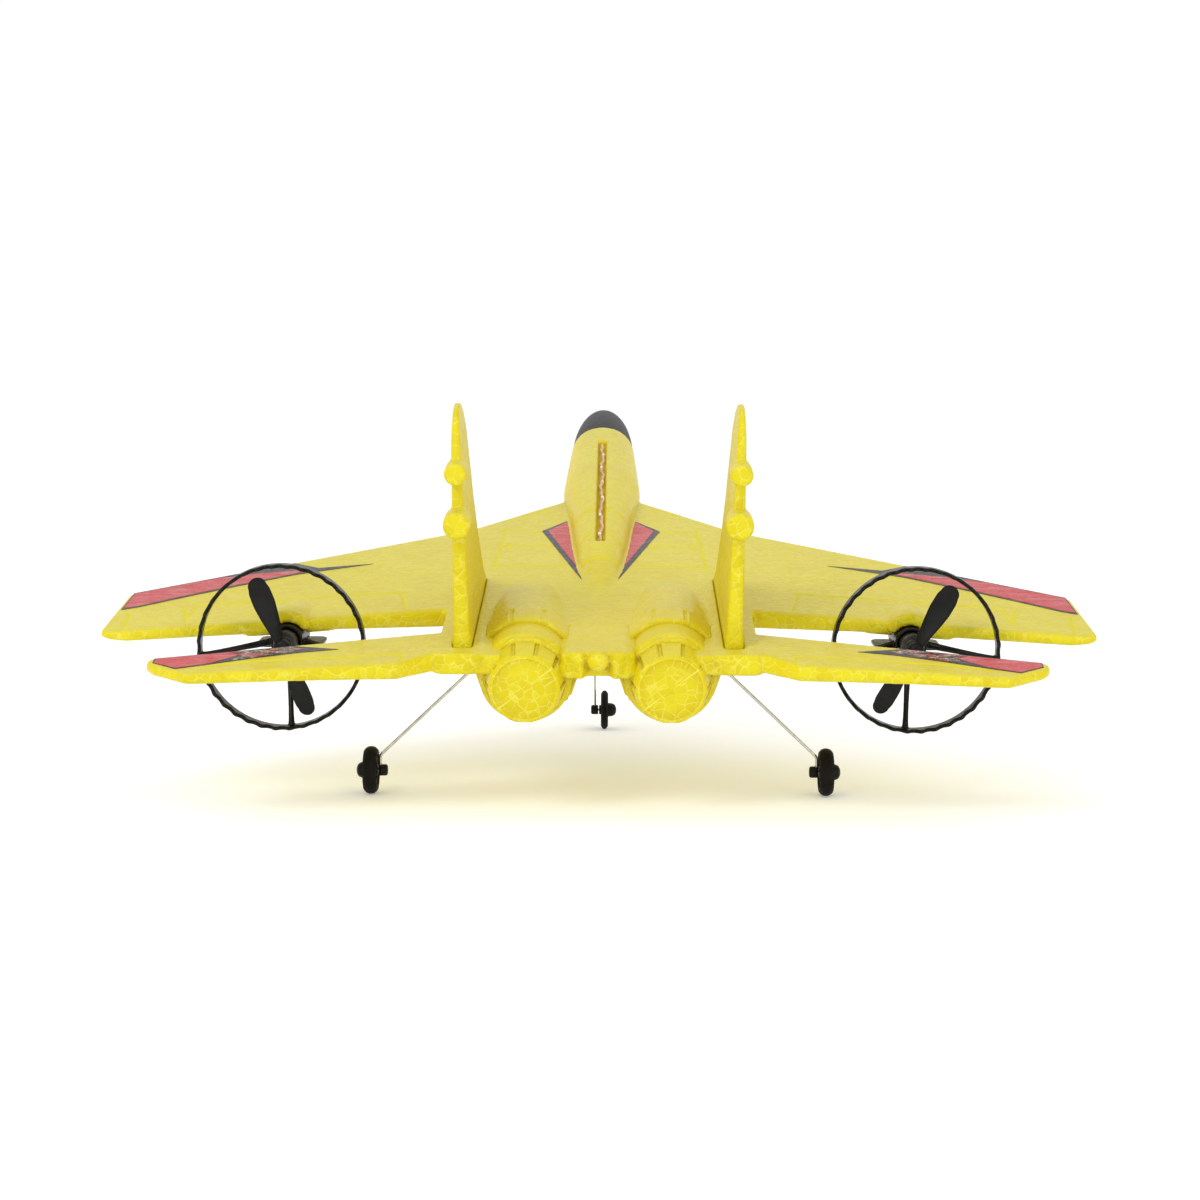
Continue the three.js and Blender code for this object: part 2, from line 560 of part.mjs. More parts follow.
function bladeShape() {
  return loft(bladeStations.map(([radius, chord, pitch]) => {
    const p = THREE.MathUtils.degToRad(pitch);
    const [cos, sin] = [Math.cos(p), Math.sin(p)];
    const thick = along([[1.6, 1.3], [9, 0.9], [propeller.radius, 0.5]], radius);
    return Array.from({ length: 10 }, (_, i) => {
      const a = (2 * Math.PI * i) / 10;
      const across = (chord / 2) * Math.cos(a);
      const through = (thick / 2) * Math.sin(a);
      return point(radius, across * sin + through * cos, across * cos - through * sin);
    });
  }));
}

function propellerShape(hand) {
  const blade = hand > 0 ? bladeShape() : mirrored(bladeShape()).rotateY(Math.PI);
  const { hubRadius, hubFrom, hubTo } = propeller;
  const hub = turned([[0, hubFrom], [1.3, hubFrom], [hubRadius, hubFrom + 1], [hubRadius, hubTo],
    [0, hubTo]], 20);
  const bore = turned([[0, -1.4], [0.8, -1.4], [0.8, 4], [0, 4]], 12);
  return cut(join(hub, blade, blade.clone().rotateY(Math.PI)), bore);
}

function addThrustUnit(side, name, bladeTilt) {
  const unit = new THREE.Group();
  unit.position.set(side * thrust.x, thrust.y, thrust.z);
  unit.rotation.x = thrust.tilt;
  craft.add(unit);
  addPart(`motor_mount_${name}`, side > 0 ? guardShape() : mirrored(guardShape()), blackPlastic, unit);
  addPart(`motor_${name}`, motorShape(), motorSteel, unit);
  addPart(`motor_shaft_${name}`, shaftShape(), steel, unit);
  const prop = addPart(`propeller_${name}`, propellerShape(side), blackPlastic, unit);
  const rest = Math.PI / 2 - THREE.MathUtils.degToRad(bladeTilt);
  prop.rotation.y = side > 0 ? -rest : rest + Math.PI;
  const lead = bar(motorLeadRoute, 0.6, 8);
  addPart(`motor_lead_${name}`, side > 0 ? lead : mirrored(lead), leadRed);
}

// ---------- landing gear ----------
function tyreShape(width) {
  const half = width / 2;
  const crown = [[wheel.tyreInner, -half + 0.5], [5.6, -half], [6.4, -half * 0.75],
    [wheel.radius - 0.12, -half * 0.4], [wheel.radius, 0]];
  const rest = crown.slice(0, -1).reverse().map(([r, y]) => [r, -y]);
  return turnedX([...crown, ...rest, crown[0]], 24);
}

// Rim, web and a long hub: domed on the outside (+X), cut short on the inside.
function hubShape(tyreWidth) {
  const rim = wheel.tyreInner - GAP;
  const half = tyreWidth / 2 - 0.5;
  const solid = turnedX([[0, -2], [1.7, -2], [1.7, -0.5], [3.5, -0.5], [3.7, -half], [rim, -half],
    [rim, half], [3.7, half], [3.3, 0.6], [2.5, 0.6], [2.4, 2.6], [1.9, 3.7], [0.9, 4.2], [0, 4.3]], 20);
  const bore = turnedX([[0, -3], [wheel.boreRadius, -3], [wheel.boreRadius, 3.5], [0, 3.5]], 12);
  return cut(solid, bore);
}

function addWheel(name, side, axle, route, exit, inward) {
  const mirror = (geometry) => (side > 0 ? geometry : mirrored(geometry));
  const centre = point(side * axle.x, axle.y, axle.z);
  addPart(`gear_wire_${name}`, mirror(bar(route, wire.radius, 8)), steel);
  addPart(`wheel_hub_${name}`, mirror(hubShape(axle.tyreWidth)), blackPlastic).position.copy(centre);
  addPart(`tyre_${name}`, mirror(tyreShape(axle.tyreWidth)), blackTyre).position.copy(centre);
  const [near, far] = [-collar.from, -collar.from - collar.length];
  const bush = turnedX([[0, far], [collar.radius - 0.4, far], [collar.radius, far + 0.4],
    [collar.radius, near], [0, near]], 16).translate(axle.x, axle.y, axle.z);
  addPart(`axle_collar_${name}`, mirror(cut(bush, bar(route, wire.radius + GAP, 8))), blackPlastic);
  const socket = cut(socketShape(exit, inward), bar(route.slice(0, 2), wire.radius + GAP, 8));
  addPart(`gear_socket_${name}`, mirror(socket), blackPlastic);
}

// ---------- nose, lights and films ----------
function noseConeShape() {
  const length = nose.tipY - nose.baseY - GAP;
  const arc = (radius, reach) => Array.from({ length: 8 }, (_, i) => {
    const a = ((i + 1) / 8) * (Math.PI / 2);
    return [radius * Math.cos(a), nose.baseY + GAP + reach * Math.sin(a)];
  });
  const inner = arc(nose.radius - nose.wall, length - 3).reverse();
  inner[0][0] = 0;
  const outer = arc(nose.radius, length);
  outer[outer.length - 1][0] = 0;
  const rim = [[nose.radius - nose.wall, nose.baseY + GAP], [nose.radius, nose.baseY + GAP]];
  return turned([...inner, ...rim, ...outer], 28).translate(0, 0, nose.z);
}

function lightStringShape() {
  const turns = 9;
  const span = lightSlot.toY - lightSlot.fromY - 6;
  const route = Array.from({ length: turns * 4 + 1 }, (_, i) => {
    const y = lightSlot.fromY + 3 + (span * i) / (turns * 4);
    return point(0.35 * Math.sin((Math.PI * i) / 2), y, fuselageTop(y) - lightSlot.depth + 1.05);
  });
  return bar(route, 0.5, 6);
}

// Outlines of the right-hand films: a triangle beside the spine, and on the wing and the tailplane
// a flash along the leading edge that ends in a spear towards the root.
const deckFilm = [[19.7, 146.2], [13, 161], [7.2, 84]];
const wingFilm = [[139.3, 63.3], [96.5, 100.8], [88.2, 94.8], [71.7, 100.5], [88.5, 90.2], [94.5, 86.2],
  [111.4, 70.9], [124.2, 58.5], [135, 47.6], [139.3, 44.8]];
const tailFilm = [[119.6, -4.4], [84, 8.2], [71.1, 5.4], [81.1, 2.2], [93.3, -3.5], [103.2, -8.9],
  [112.3, -13.6], [119.4, -8.2]];

function addFilms() {
  const films = { deck_decal: deckFilm, wing_decal: wingFilm, tail_decal: tailFilm };
  Object.entries(films).forEach(([name, outline]) => {
    const sheet = join(plate(outline, film.lift, film.lift + film.thickness));
    addPart(`${name}_right`, sheet, filmRed);
    addPart(`${name}_left`, mirrored(sheet), filmRed);
  });
}

// ---------- assembly ----------
addPart('airframe', airframeShape(), foam);
addPart('nose_cone', noseConeShape(), glossBlack);
const rightFin = finShape();
addPart('fin_right', rightFin, foam);
addPart('fin_left', mirrored(rightFin), foam);
addBay();
addPart('light_string', lightStringShape(), copper);
addThrustUnit(1, 'right', 30);
addThrustUnit(-1, 'left', 21);
addWheel('right', 1, mainAxle, mainWireRoute, mainExit, mainInward);
addWheel('left', -1, mainAxle, mainWireRoute, mainExit, mainInward);
addWheel('nose', 1, noseAxle, noseWireRoute, noseExit, noseInward);
addFilms();

craft.rotation.x = Math.atan2(mainAxle.z - noseAxle.z, noseAxle.y - mainAxle.y);
const plane = new THREE.Group();
plane.add(craft);
plane.updateMatrixWorld(true);
const bounds = new THREE.Box3().setFromObject(plane, true);
craft.position.set(-(bounds.min.x + bounds.max.x) / 2, -(bounds.min.y + bounds.max.y) / 2, -bounds.min.z);

export default plane;
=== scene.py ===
# A twin-propeller foam jet model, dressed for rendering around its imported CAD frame.
# Shapes are made in millimetres in the model's level frame: X to the right wing, Y to the nose, Z up,
# Y = 0 at the nozzle ends and Z = 0 on the deck. LEVEL takes them to the row frame, in metres.
import json
import math

import bmesh
import bpy
import numpy as np
from mathutils import Matrix, Vector


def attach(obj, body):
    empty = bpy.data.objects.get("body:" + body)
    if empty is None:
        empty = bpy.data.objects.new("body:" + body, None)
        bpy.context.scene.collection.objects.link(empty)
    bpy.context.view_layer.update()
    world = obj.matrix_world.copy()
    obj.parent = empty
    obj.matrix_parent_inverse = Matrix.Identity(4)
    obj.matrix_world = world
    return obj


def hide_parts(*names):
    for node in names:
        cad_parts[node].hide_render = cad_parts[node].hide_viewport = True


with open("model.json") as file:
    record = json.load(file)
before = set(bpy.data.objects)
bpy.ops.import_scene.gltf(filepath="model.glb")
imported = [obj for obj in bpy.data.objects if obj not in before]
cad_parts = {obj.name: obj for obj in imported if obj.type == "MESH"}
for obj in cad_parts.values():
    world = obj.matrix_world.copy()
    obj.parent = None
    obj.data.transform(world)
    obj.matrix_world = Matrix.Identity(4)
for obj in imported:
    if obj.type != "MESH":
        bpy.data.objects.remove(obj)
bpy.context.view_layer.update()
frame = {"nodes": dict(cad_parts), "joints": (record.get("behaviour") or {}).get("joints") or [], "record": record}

# ---------- driving dimensions, as in the CAD ----------
MM = 0.001
MAIN_AXLE = Vector((66.8, 38.5, -46.6))
NOSE_AXLE = Vector((1.3, 188.1, -76.4))
NOSE_LEG_TOP = Vector((-2.2, 194, -5))
NOSE_LEG_EXIT_Z = -13.6
THRUST = Vector((89.2, 22, -4.2))
THRUST_TILT = math.radians(-6)
NOZZLE_X, NOZZLE_Z = 20.1, -9.5
NOZZLE_SIDES = 10
GUARD_OUTER, GUARD_INNER, GUARD_HALF_DEPTH = 23.7, 22.6, 2.0
HOLDER_OUTER, HOLDER_INNER = 4.7, 3.8
WHEEL_RADIUS, TYRE_INNER = 7.0, 4.6
MAIN_TYRE_HALF, NOSE_TYRE_HALF = 2.0, 1.3
WIRE_RADIUS = 0.45
NOSE_BASE, NOSE_TIP, NOSE_RADIUS, NOSE_Z, NOSE_WALL = 268.3, 347.0, 11.8, 0.7, 1.2
SLOT_FROM, SLOT_TO, SLOT_DEPTH = 108.0, 243.0, 2.6
SPINE_TOP = [(108, 6.4), (125, 7.9), (150, 9.5), (170, 10.4), (200, 11.5), (235, 12.1), (268, 12.6)]
HATCH_BOTTOM = -15.1
SCREW_YS = {"rear": 105.4, "front": 162.6}
SIDES = {"right": 1, "left": -1}
# The camera stands behind the tail, a little to the right, and looks along the model's length.
CAMERA_AT = Vector((3.5, -572.3, 171.3))
CAMERA_YAW, CAMERA_PITCH, CAMERA_ROLL = math.radians(-0.3), math.radians(15.19), math.radians(-0.2)
LENS = 66
LIGHT_TARGET = Vector((0, 0, 0.05))


def level_matrix():
    """The level frame's place in the row frame, from the hatch's mount and the right wheel's joint."""
    down = next(m for m in frame["record"]["mounts"] if m["name"] == "belly_hatch_face")["axis"]
    turn = Matrix.Rotation(math.atan2(down[1], -down[2]), 4, "X") @ Matrix.Scale(MM, 4)
    wheel = next(j for j in frame["joints"] if j["name"] == "wheel_right_spin")["pos_m"]
    return Matrix.Translation(Vector(wheel) - turn @ MAIN_AXLE) @ turn


LEVEL = level_matrix()
MIRROR = Matrix.Scale(-1, 4, (1, 0, 0))


def side_matrix(side):
    return LEVEL if side > 0 else LEVEL @ MIRROR


def thrust_matrix(side):
    """A thrust unit's own frame: the propeller's centre, with +Y forward along its shaft."""
    centre = Matrix.Translation((side * THRUST.x, THRUST.y, THRUST.z))
    turned_unit = LEVEL @ centre @ Matrix.Rotation(THRUST_TILT, 4, "X")
    return turned_unit if side > 0 else turned_unit @ MIRROR


# ---------- camera, lights and floor ----------
def add_camera():
    camera = bpy.data.objects.new("camera", bpy.data.cameras.new("camera"))
    camera.data.lens = LENS
    camera.data.sensor_width = 36
    camera.data.clip_start = 0.01
    cos, sin = math.cos(CAMERA_PITCH), math.sin(CAMERA_PITCH)
    ahead = Vector((math.sin(CAMERA_YAW) * cos, math.cos(CAMERA_YAW) * cos, -sin))
    flat_right = Vector((math.cos(CAMERA_YAW), -math.sin(CAMERA_YAW), 0))
    down = ahead.cross(flat_right)
    right = math.cos(CAMERA_ROLL) * flat_right + math.sin(CAMERA_ROLL) * down
    turn = LEVEL.to_3x3().normalized()
    axes = Matrix((turn @ right, turn @ right.cross(ahead), turn @ -ahead)).transposed()
    camera.matrix_world = Matrix.Translation(LEVEL @ CAMERA_AT) @ axes.to_4x4()
    bpy.context.scene.collection.objects.link(camera)
    bpy.context.scene.camera = camera


def add_light(name, at, size, power):
    """A white area light aimed at the middle of the model."""
    data = bpy.data.lights.new(name, "AREA")
    data.shape = "RECTANGLE"
    data.size, data.size_y = size
    data.energy = power
    light = bpy.data.objects.new(name, data)
    light.location = at
    light.rotation_euler = (LIGHT_TARGET - Vector(at)).to_track_quat("-Z", "Y").to_euler()
    bpy.context.scene.collection.objects.link(light)


def add_world():
    """A white room: bright ahead and overhead, dimmer to the sides, so that turned faces differ."""
    world = bpy.data.worlds.new("studio")
    world.use_nodes = True
    tree = world.node_tree
    toward = add_node(tree, "ShaderNodeSeparateXYZ",
                      i0=add_node(tree, "ShaderNodeTexCoord").outputs["Generated"])
    ahead = ramp(tree, toward.outputs[1], 0.72, 0.92)
    overhead = ramp(tree, toward.outputs[2], 0.1, 0.95, 0.66, 1.0)
    behind = ramp(tree, toward.outputs[1], -0.4, -0.95, 0.0, 0.3)
    room = calc(tree, "ADD", overhead, behind)
    background = tree.nodes["Background"]
    background.inputs["Color"].default_value = (1, 1, 1, 1)
    tree.links.new(calc(tree, "MAXIMUM", ahead, room), background.inputs["Strength"])
    bpy.context.scene.world = world


def add_studio():
    add_world()
    bpy.context.scene.view_settings.view_transform = "Standard"
    add_light("key", (-0.55, -1.0, 0.85), (0.45, 0.45), 4.8)
    add_light("fill", (0.8, -1.0, 0.4), (0.6, 0.6), 1.6)
    disc = bmesh.new()
    bmesh.ops.create_circle(disc, cap_ends=True, radius=6, segments=96)
    add_backdrop("floor", disc, 0.93, 0.22)
    shell = bmesh.new()
    bmesh.ops.create_uvsphere(shell, u_segments=48, v_segments=24, radius=9)
    wall = add_backdrop("wall", shell, 0.0, 1.0)
    wall.visible_diffuse = False
    wall.visible_glossy = False
    wall.visible_shadow = False


def add_backdrop(name, work, reflects, emits):
    """A matt white surface that belongs to the room, not to the model."""
    surface = bpy.data.objects.new(name, bpy.data.meshes.new(name))
    work.to_mesh(surface.data)
    work.free()
    material = bpy.data.materials.new(f"{name}_white")
    material.use_nodes = True
    shader = material.node_tree.nodes["Principled BSDF"]
    shader.inputs["Base Color"].default_value = (reflects, reflects, reflects, 1)
    shader.inputs["Roughness"].default_value = 0.8
    shader.inputs["Emission Color"].default_value = (1, 1, 1, 1)
    shader.inputs["Emission Strength"].default_value = emits
    surface.data.materials.append(material)
    bpy.context.scene.collection.objects.link(surface)
    return surface


# ---------- materials ----------
def add_node(tree, kind, settings=None, **inputs):
    node = tree.nodes.new(kind)
    for key, value in (settings or {}).items():
        setattr(node, key, value)
    for key, value in inputs.items():
        socket = node.inputs[int(key[1:])] if key[0] == "i" and key[1:].isdigit() else node.inputs[key]
        if isinstance(value, bpy.types.NodeSocket):
            tree.links.new(value, socket)
        else:
            socket.default_value = value
    return node


def base_material(name, roughness, metallic=0.0, specular=0.5):
    material = bpy.data.materials.new(name)
    material.use_nodes = True
    tree = material.node_tree
    shader = tree.nodes["Principled BSDF"]
    shader.inputs["Roughness"].default_value = roughness
    shader.inputs["Metallic"].default_value = metallic
    shader.inputs["Specular IOR Level"].default_value = specular
    return material, tree, shader


def place_in_mm(tree, scale=(1, 1, 1)):
    """Rest coordinates of the piece, in millimetres times scale."""
    source = add_node(tree, "ShaderNodeTexCoord").outputs["Object"]
    per_metre = tuple(1000 * s for s in scale)
    return add_node(tree, "ShaderNodeMapping", Vector=source, Scale=per_metre).outputs[0]


def noise(tree, where, scale, detail=3.0, roughness=0.5):
    return add_node(tree, "ShaderNodeTexNoise", Vector=where, Scale=scale, Detail=detail,
                    Roughness=roughness).outputs["Fac"]


def ramp(tree, value, low, high, start=0.0, end=1.0):
    return add_node(tree, "ShaderNodeMapRange", {"interpolation_type": "SMOOTHSTEP"}, i0=value, i1=low,
                    i2=high, i3=start, i4=end).outputs[0]


def calc(tree, operation, a, b):
    return add_node(tree, "ShaderNodeMath", {"operation": operation}, i0=a, i1=b).outputs[0]


def blend_colors(tree, amount, a, b):
    """a and b are colours or sockets; amount 0 gives a."""
    node = add_node(tree, "ShaderNodeMix", {"data_type": "RGBA"}, i0=amount)
    for index, value in ((6, a), (7, b)):
        if isinstance(value, bpy.types.NodeSocket):
            tree.links.new(value, node.inputs[index])
        else:
            node.inputs[index].default_value = (*value, 1)
    return node.outputs[2]


def bump(tree, height, distance, strength=1.0, onto=None):
    node = add_node(tree, "ShaderNodeBump", Height=height, Distance=distance, Strength=strength)
    if onto is not None:
        tree.links.new(onto, node.inputs["Normal"])
    return node.outputs[0]


FOAM_DEEP = (0.62, 0.51, 0.003)
# The next colour is a lighter bead tone, and also the painted light in the engraved lines.
FOAM_BRIGHT_TONE_AND_GROOVE_LIGHT = (0.71, 0.63, 0.010)
FOAM_OCHRE = (0.58, 0.46, 0.003)
# Painted shade colour for concave places.
FOAM_PAINTED_HOLLOW_SHADE = (0.46, 0.32, 0.002)
# Painted light colour for faces turned to the sides.
FOAM_PAINTED_SIDE_LIGHT = (0.74, 0.59, 0.002)
# Painted sheen colour for faces that look upward.
FOAM_PAINTED_SHEEN = (0.66, 0.57, 0.075)
# The next colour is the bead borders' own pale colour, and also the painted edge highlight.
FOAM_BEAD_BORDER_AND_HIGHLIGHT = (0.82, 0.78, 0.17)
BEAD_SIZE = 2.7


def bead_cells(tree, mm):
    """Slightly warped bead cells: each point's distance to its cell's edge, and a value for each cell."""
    wobble = add_node(tree, "ShaderNodeTexNoise", Vector=mm, Scale=0.45, Detail=1.0).outputs["Color"]
    warped = add_node(tree, "ShaderNodeVectorMath", {"operation": "ADD"}, i0=mm, i1=wobble).outputs[0]
    edge = add_node(tree, "ShaderNodeTexVoronoi", {"feature": "DISTANCE_TO_EDGE"}, Vector=warped,
                    Scale=1 / BEAD_SIZE).outputs["Distance"]
    cell = add_node(tree, "ShaderNodeTexVoronoi", Vector=warped, Scale=1 / BEAD_SIZE).outputs["Color"]
    return edge, add_node(tree, "ShaderNodeSeparateColor", i0=cell).outputs[0]


def foam_color(tree, mm, facing, edge, shade, streak, groove):
    """Yellow with painted light: a painted sheen on top, painted light on the sides and in the engraved lines,
    painted shade in concave places and painted highlights on edges; bead borders are lighter.
    """
    upward = ramp(tree, facing.outputs[2], 0.45, 0.9)
    side_amount = calc(tree, "SUBTRACT", 1.0, upward)
    cloud = noise(tree, mm, 0.05, 4.0, 0.55)
    patchy = ramp(tree, noise(tree, mm, 0.22, 3.0), 0.35, 0.6, 0.25, 1.0)
    border = calc(tree, "MULTIPLY", ramp(tree, edge, 0.10, 0.01), patchy)
    border_amount = calc(tree, "MULTIPLY", border, calc(tree, "MULTIPLY", side_amount, 0.34))
    color = blend_colors(tree, calc(tree, "MULTIPLY", shade, 0.7), FOAM_DEEP, FOAM_BRIGHT_TONE_AND_GROOVE_LIGHT)
    color = blend_colors(tree, calc(tree, "MULTIPLY", ramp(tree, cloud, 0.4, 0.7), 0.5), color, FOAM_OCHRE)
    # Painted sheen: faces that look upward are blended toward pale yellow, broken up by the mould streaks.
    color = blend_colors(tree, calc(tree, "MULTIPLY", upward, ramp(tree, streak, 0.3, 0.75, 0.25, 0.75)),
                         color, FOAM_PAINTED_SHEEN)
    # Painted light: faces turned to the sides are blended toward a brighter, warmer yellow.
    sideways = ramp(tree, calc(tree, "ABSOLUTE", facing.outputs[0], 0.0), 0.35, 0.85)
    color = blend_colors(tree, calc(tree, "MULTIPLY", sideways, 0.7), color, FOAM_PAINTED_SIDE_LIGHT)
    # Painted light: the engraved lines are lightened to a bright, saturated yellow.
    color = blend_colors(tree, calc(tree, "MULTIPLY", groove, 0.8), color, FOAM_BRIGHT_TONE_AND_GROOVE_LIGHT)
    # Painted shade: concave places, found from the pointiness, are darkened toward a deep ochre.
    bend = add_node(tree, "ShaderNodeNewGeometry").outputs["Pointiness"]
    painted_hollow_shade = calc(tree, "MULTIPLY", ramp(tree, bend, 0.495, 0.45), calc(tree, "ADD", side_amount, 0.25))
    color = blend_colors(tree, calc(tree, "MULTIPLY", painted_hollow_shade, 0.75), color, FOAM_PAINTED_HOLLOW_SHADE)
    # Painted highlight: convex edges, found from the pointiness, are lightened toward pale yellow.
    painted_edge_highlight = calc(tree, "MULTIPLY", ramp(tree, bend, 0.57, 0.66), 0.5)
    return blend_colors(tree, border_amount, blend_colors(tree, painted_edge_highlight, color, FOAM_BEAD_BORDER_AND_HIGHLIGHT), FOAM_BEAD_BORDER_AND_HIGHLIGHT)


def foam_material():
    """Moulded bead foam: a satin skin, streaked across the top with mould grain and a painted sheen, with bead
    cells on its other faces.
    """
    material, tree, shader = base_material("foam_skin", 0.42, specular=0.22)
    mm = place_in_mm(tree)
    facing = add_node(tree, "ShaderNodeSeparateXYZ",
                      i0=add_node(tree, "ShaderNodeTexCoord").outputs["Normal"])
    edge, shade = bead_cells(tree, mm)
    streak = noise(tree, place_in_mm(tree, (0.09, 0.75, 0.2)), 1.0, 4.0, 0.6)
    groove = add_node(tree, "ShaderNodeAttribute", {"attribute_name": "groove"}).outputs["Fac"]
    tree.links.new(foam_color(tree, mm, facing, edge, shade, streak, groove), shader.inputs["Base Color"])
    rough = calc(tree, "ADD", ramp(tree, noise(tree, mm, 0.6, 3.0), 0.3, 0.7, 0.30, 0.46),
                 calc(tree, "MULTIPLY", groove, 0.2))
    tree.links.new(rough, shader.inputs["Roughness"])
    upward = ramp(tree, facing.outputs[2], 0.45, 0.9)
    cells = bump(tree, ramp(tree, edge, 0.0, 0.16), 0.00012, 0.6)
    grain = bump(tree, calc(tree, "MULTIPLY", streak, upward), 0.00035, 0.45, cells)
    fine = bump(tree, noise(tree, mm, 2.2, 4.0, 0.6), 0.00006, 0.4, grain)
    tree.links.new(fine, shader.inputs["Normal"])
    return material


def plastic_material(name, color, roughness, grain=1.6, worn=0.1, specular=0.5):
    """Injection-moulded plastic: a fine spark texture, faint flow marks, and slightly uneven gloss."""
    material, tree, shader = base_material(name, roughness, specular=specular)
    mm = place_in_mm(tree)
    flow = ramp(tree, noise(tree, mm, 0.25, 3.0), 0.35, 0.7)
    lighter = tuple(min(1, c * 1.5 + 0.003) for c in color)
    tree.links.new(blend_colors(tree, calc(tree, "MULTIPLY", flow, 0.6), color, lighter),
                   shader.inputs["Base Color"])
    uneven = ramp(tree, noise(tree, mm, 0.8, 4.0), 0.3, 0.7, roughness - worn / 2, roughness + worn / 2)
    tree.links.new(uneven, shader.inputs["Roughness"])
    tree.links.new(bump(tree, noise(tree, mm, grain, 4.0, 0.6), 0.00004, 0.35), shader.inputs["Normal"])
    return material


def metal_material(name, color, roughness, stretch=(1, 1, 1)):
    """Drawn or turned metal: fine scratches along one direction, and a patchy tarnish."""
    material, tree, shader = base_material(name, roughness, metallic=1.0)
    lines = noise(tree, place_in_mm(tree, stretch), 3.0, 3.0)
    stain = ramp(tree, noise(tree, place_in_mm(tree), 0.5, 3.0), 0.35, 0.75)
    darker = tuple(c * 0.62 for c in color)
    tree.links.new(blend_colors(tree, calc(tree, "MULTIPLY", stain, 0.55), color, darker),
                   shader.inputs["Base Color"])
    tree.links.new(ramp(tree, lines, 0.3, 0.7, roughness * 0.75, roughness * 1.4), shader.inputs["Roughness"])
    tree.links.new(bump(tree, lines, 0.00002, 0.3), shader.inputs["Normal"])
    return material


def film_material(name, color, painted_sheen):
    """Printed foil: glossy and slightly rippled where it follows the foam, with pale pink streaks of painted
    sheen.
    """
    material, tree, shader = base_material(name, 0.3, specular=0.15)
    mm = place_in_mm(tree)
    streak = noise(tree, place_in_mm(tree, (0.12, 0.5, 0.3)), 1.0, 4.0, 0.6)
    # Painted sheen: the print is blended toward pale pink along the ripple streaks.
    color = blend_colors(tree, ramp(tree, streak, 0.4, 0.75, 0, painted_sheen), color, (0.62, 0.42, 0.40))
    tree.links.new(color, shader.inputs["Base Color"])
    tree.links.new(ramp(tree, noise(tree, mm, 0.7), 0.3, 0.7, 0.24, 0.42), shader.inputs["Roughness"])
    tree.links.new(bump(tree, streak, 0.0002, 0.4), shader.inputs["Normal"])
    return material


def streaked_film_material():
    """The tail flash's inner end: the print breaks up into black and red streaks with pale gaps."""
    material, tree, shader = base_material("tail_print", 0.3, specular=0.25)
    lengthwise = place_in_mm(tree, (0.17, 0.9, 0.3))
    splash = noise(tree, lengthwise, 1.0, 5.0, 0.62)
    dots = noise(tree, place_in_mm(tree), 0.9, 3.0, 0.6)
    color = blend_colors(tree, ramp(tree, splash, 0.49, 0.505), (0.015, 0.012, 0.012), (0.66, 0.52, 0.36))
    color = blend_colors(tree, ramp(tree, splash, 0.53, 0.545), color, (0.36, 0.02, 0.03))
    color = blend_colors(tree, ramp(tree, dots, 0.57, 0.60), color, (0.03, 0.02, 0.02))
    tree.links.new(color, shader.inputs["Base Color"])
    tree.links.new(bump(tree, splash, 0.0002, 0.4), shader.inputs["Normal"])
    return material


def make_materials():
    return {
        "foam": foam_material(),
        "nose_gloss": plastic_material("nose_paint", (0.016, 0.016, 0.018), 0.42, 0.9, 0.06, specular=0.05),
        "black_plastic": plastic_material("satin_black", (0.005, 0.005, 0.0045), 0.36, specular=0.16),
        "guard": plastic_material("guard_black", (0.006, 0.005, 0.004), 0.28, specular=0.16),
        "black_tyre": plastic_material("tyre_rubber", (0.005, 0.004, 0.003), 0.6, 2.4, specular=0.12),
        "steel": metal_material("spring_steel", (0.62, 0.60, 0.56), 0.24, (1, 1, 0.15)),
        "motor_can": metal_material("plated_can", (0.08, 0.075, 0.07), 0.38, (1, 0.15, 1)),
        "film_red": film_material("film_red", (0.52, 0.045, 0.05), 0.3),
        "film_grey": film_material("film_grey", (0.030, 0.030, 0.036), 0.12),
        "tail_print": streaked_film_material(),
        "board": plastic_material("solder_mask", (0.012, 0.11, 0.035), 0.35),
        "cell_wrap": plastic_material("cell_wrap", (0.30, 0.35, 0.44), 0.32),
        "lead_red": plastic_material("lead_red", (0.42, 0.012, 0.010), 0.42),
        "lead_black": plastic_material("lead_black", (0.012, 0.012, 0.012), 0.45),
        "plug_white": plastic_material("plug_white", (0.80, 0.79, 0.72), 0.4),
        "copper": plastic_material("lacquered_copper", (0.60, 0.36, 0.22), 0.32),
        "resin": plastic_material("light_resin", (0.80, 0.70, 0.58), 0.2),
    }


# ---------- mesh making ----------
def new_object(name, vertices, faces, place, sharp=40):
    """A smooth-shaded mesh object; place takes the given points to the row frame."""
    mesh = bpy.data.meshes.new(name)
    mesh.from_pydata(np.asarray(vertices, float).tolist(), [], faces)
    mesh.transform(place)
    if place.determinant() < 0:
        mesh.flip_normals()
    return shaded_object(name, mesh, sharp)


def shaded_object(name, mesh, sharp):
    mesh.validate()
    mesh.shade_smooth()
    mesh.set_sharp_from_angle(angle=math.radians(sharp))
    obj = bpy.data.objects.new(name, mesh)
    bpy.context.scene.collection.objects.link(obj)
    return obj


def dress(obj, body, slot, look, *replaced):
    """Gives a finished piece its material and its body, and hides the CAD nodes that it stands for; slot is not
    used.
    """
    for name in [look] if isinstance(look, str) else look:
        obj.data.materials.append(LOOKS[name])
    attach(obj, body)
    if replaced:
        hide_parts(*replaced)
    return obj


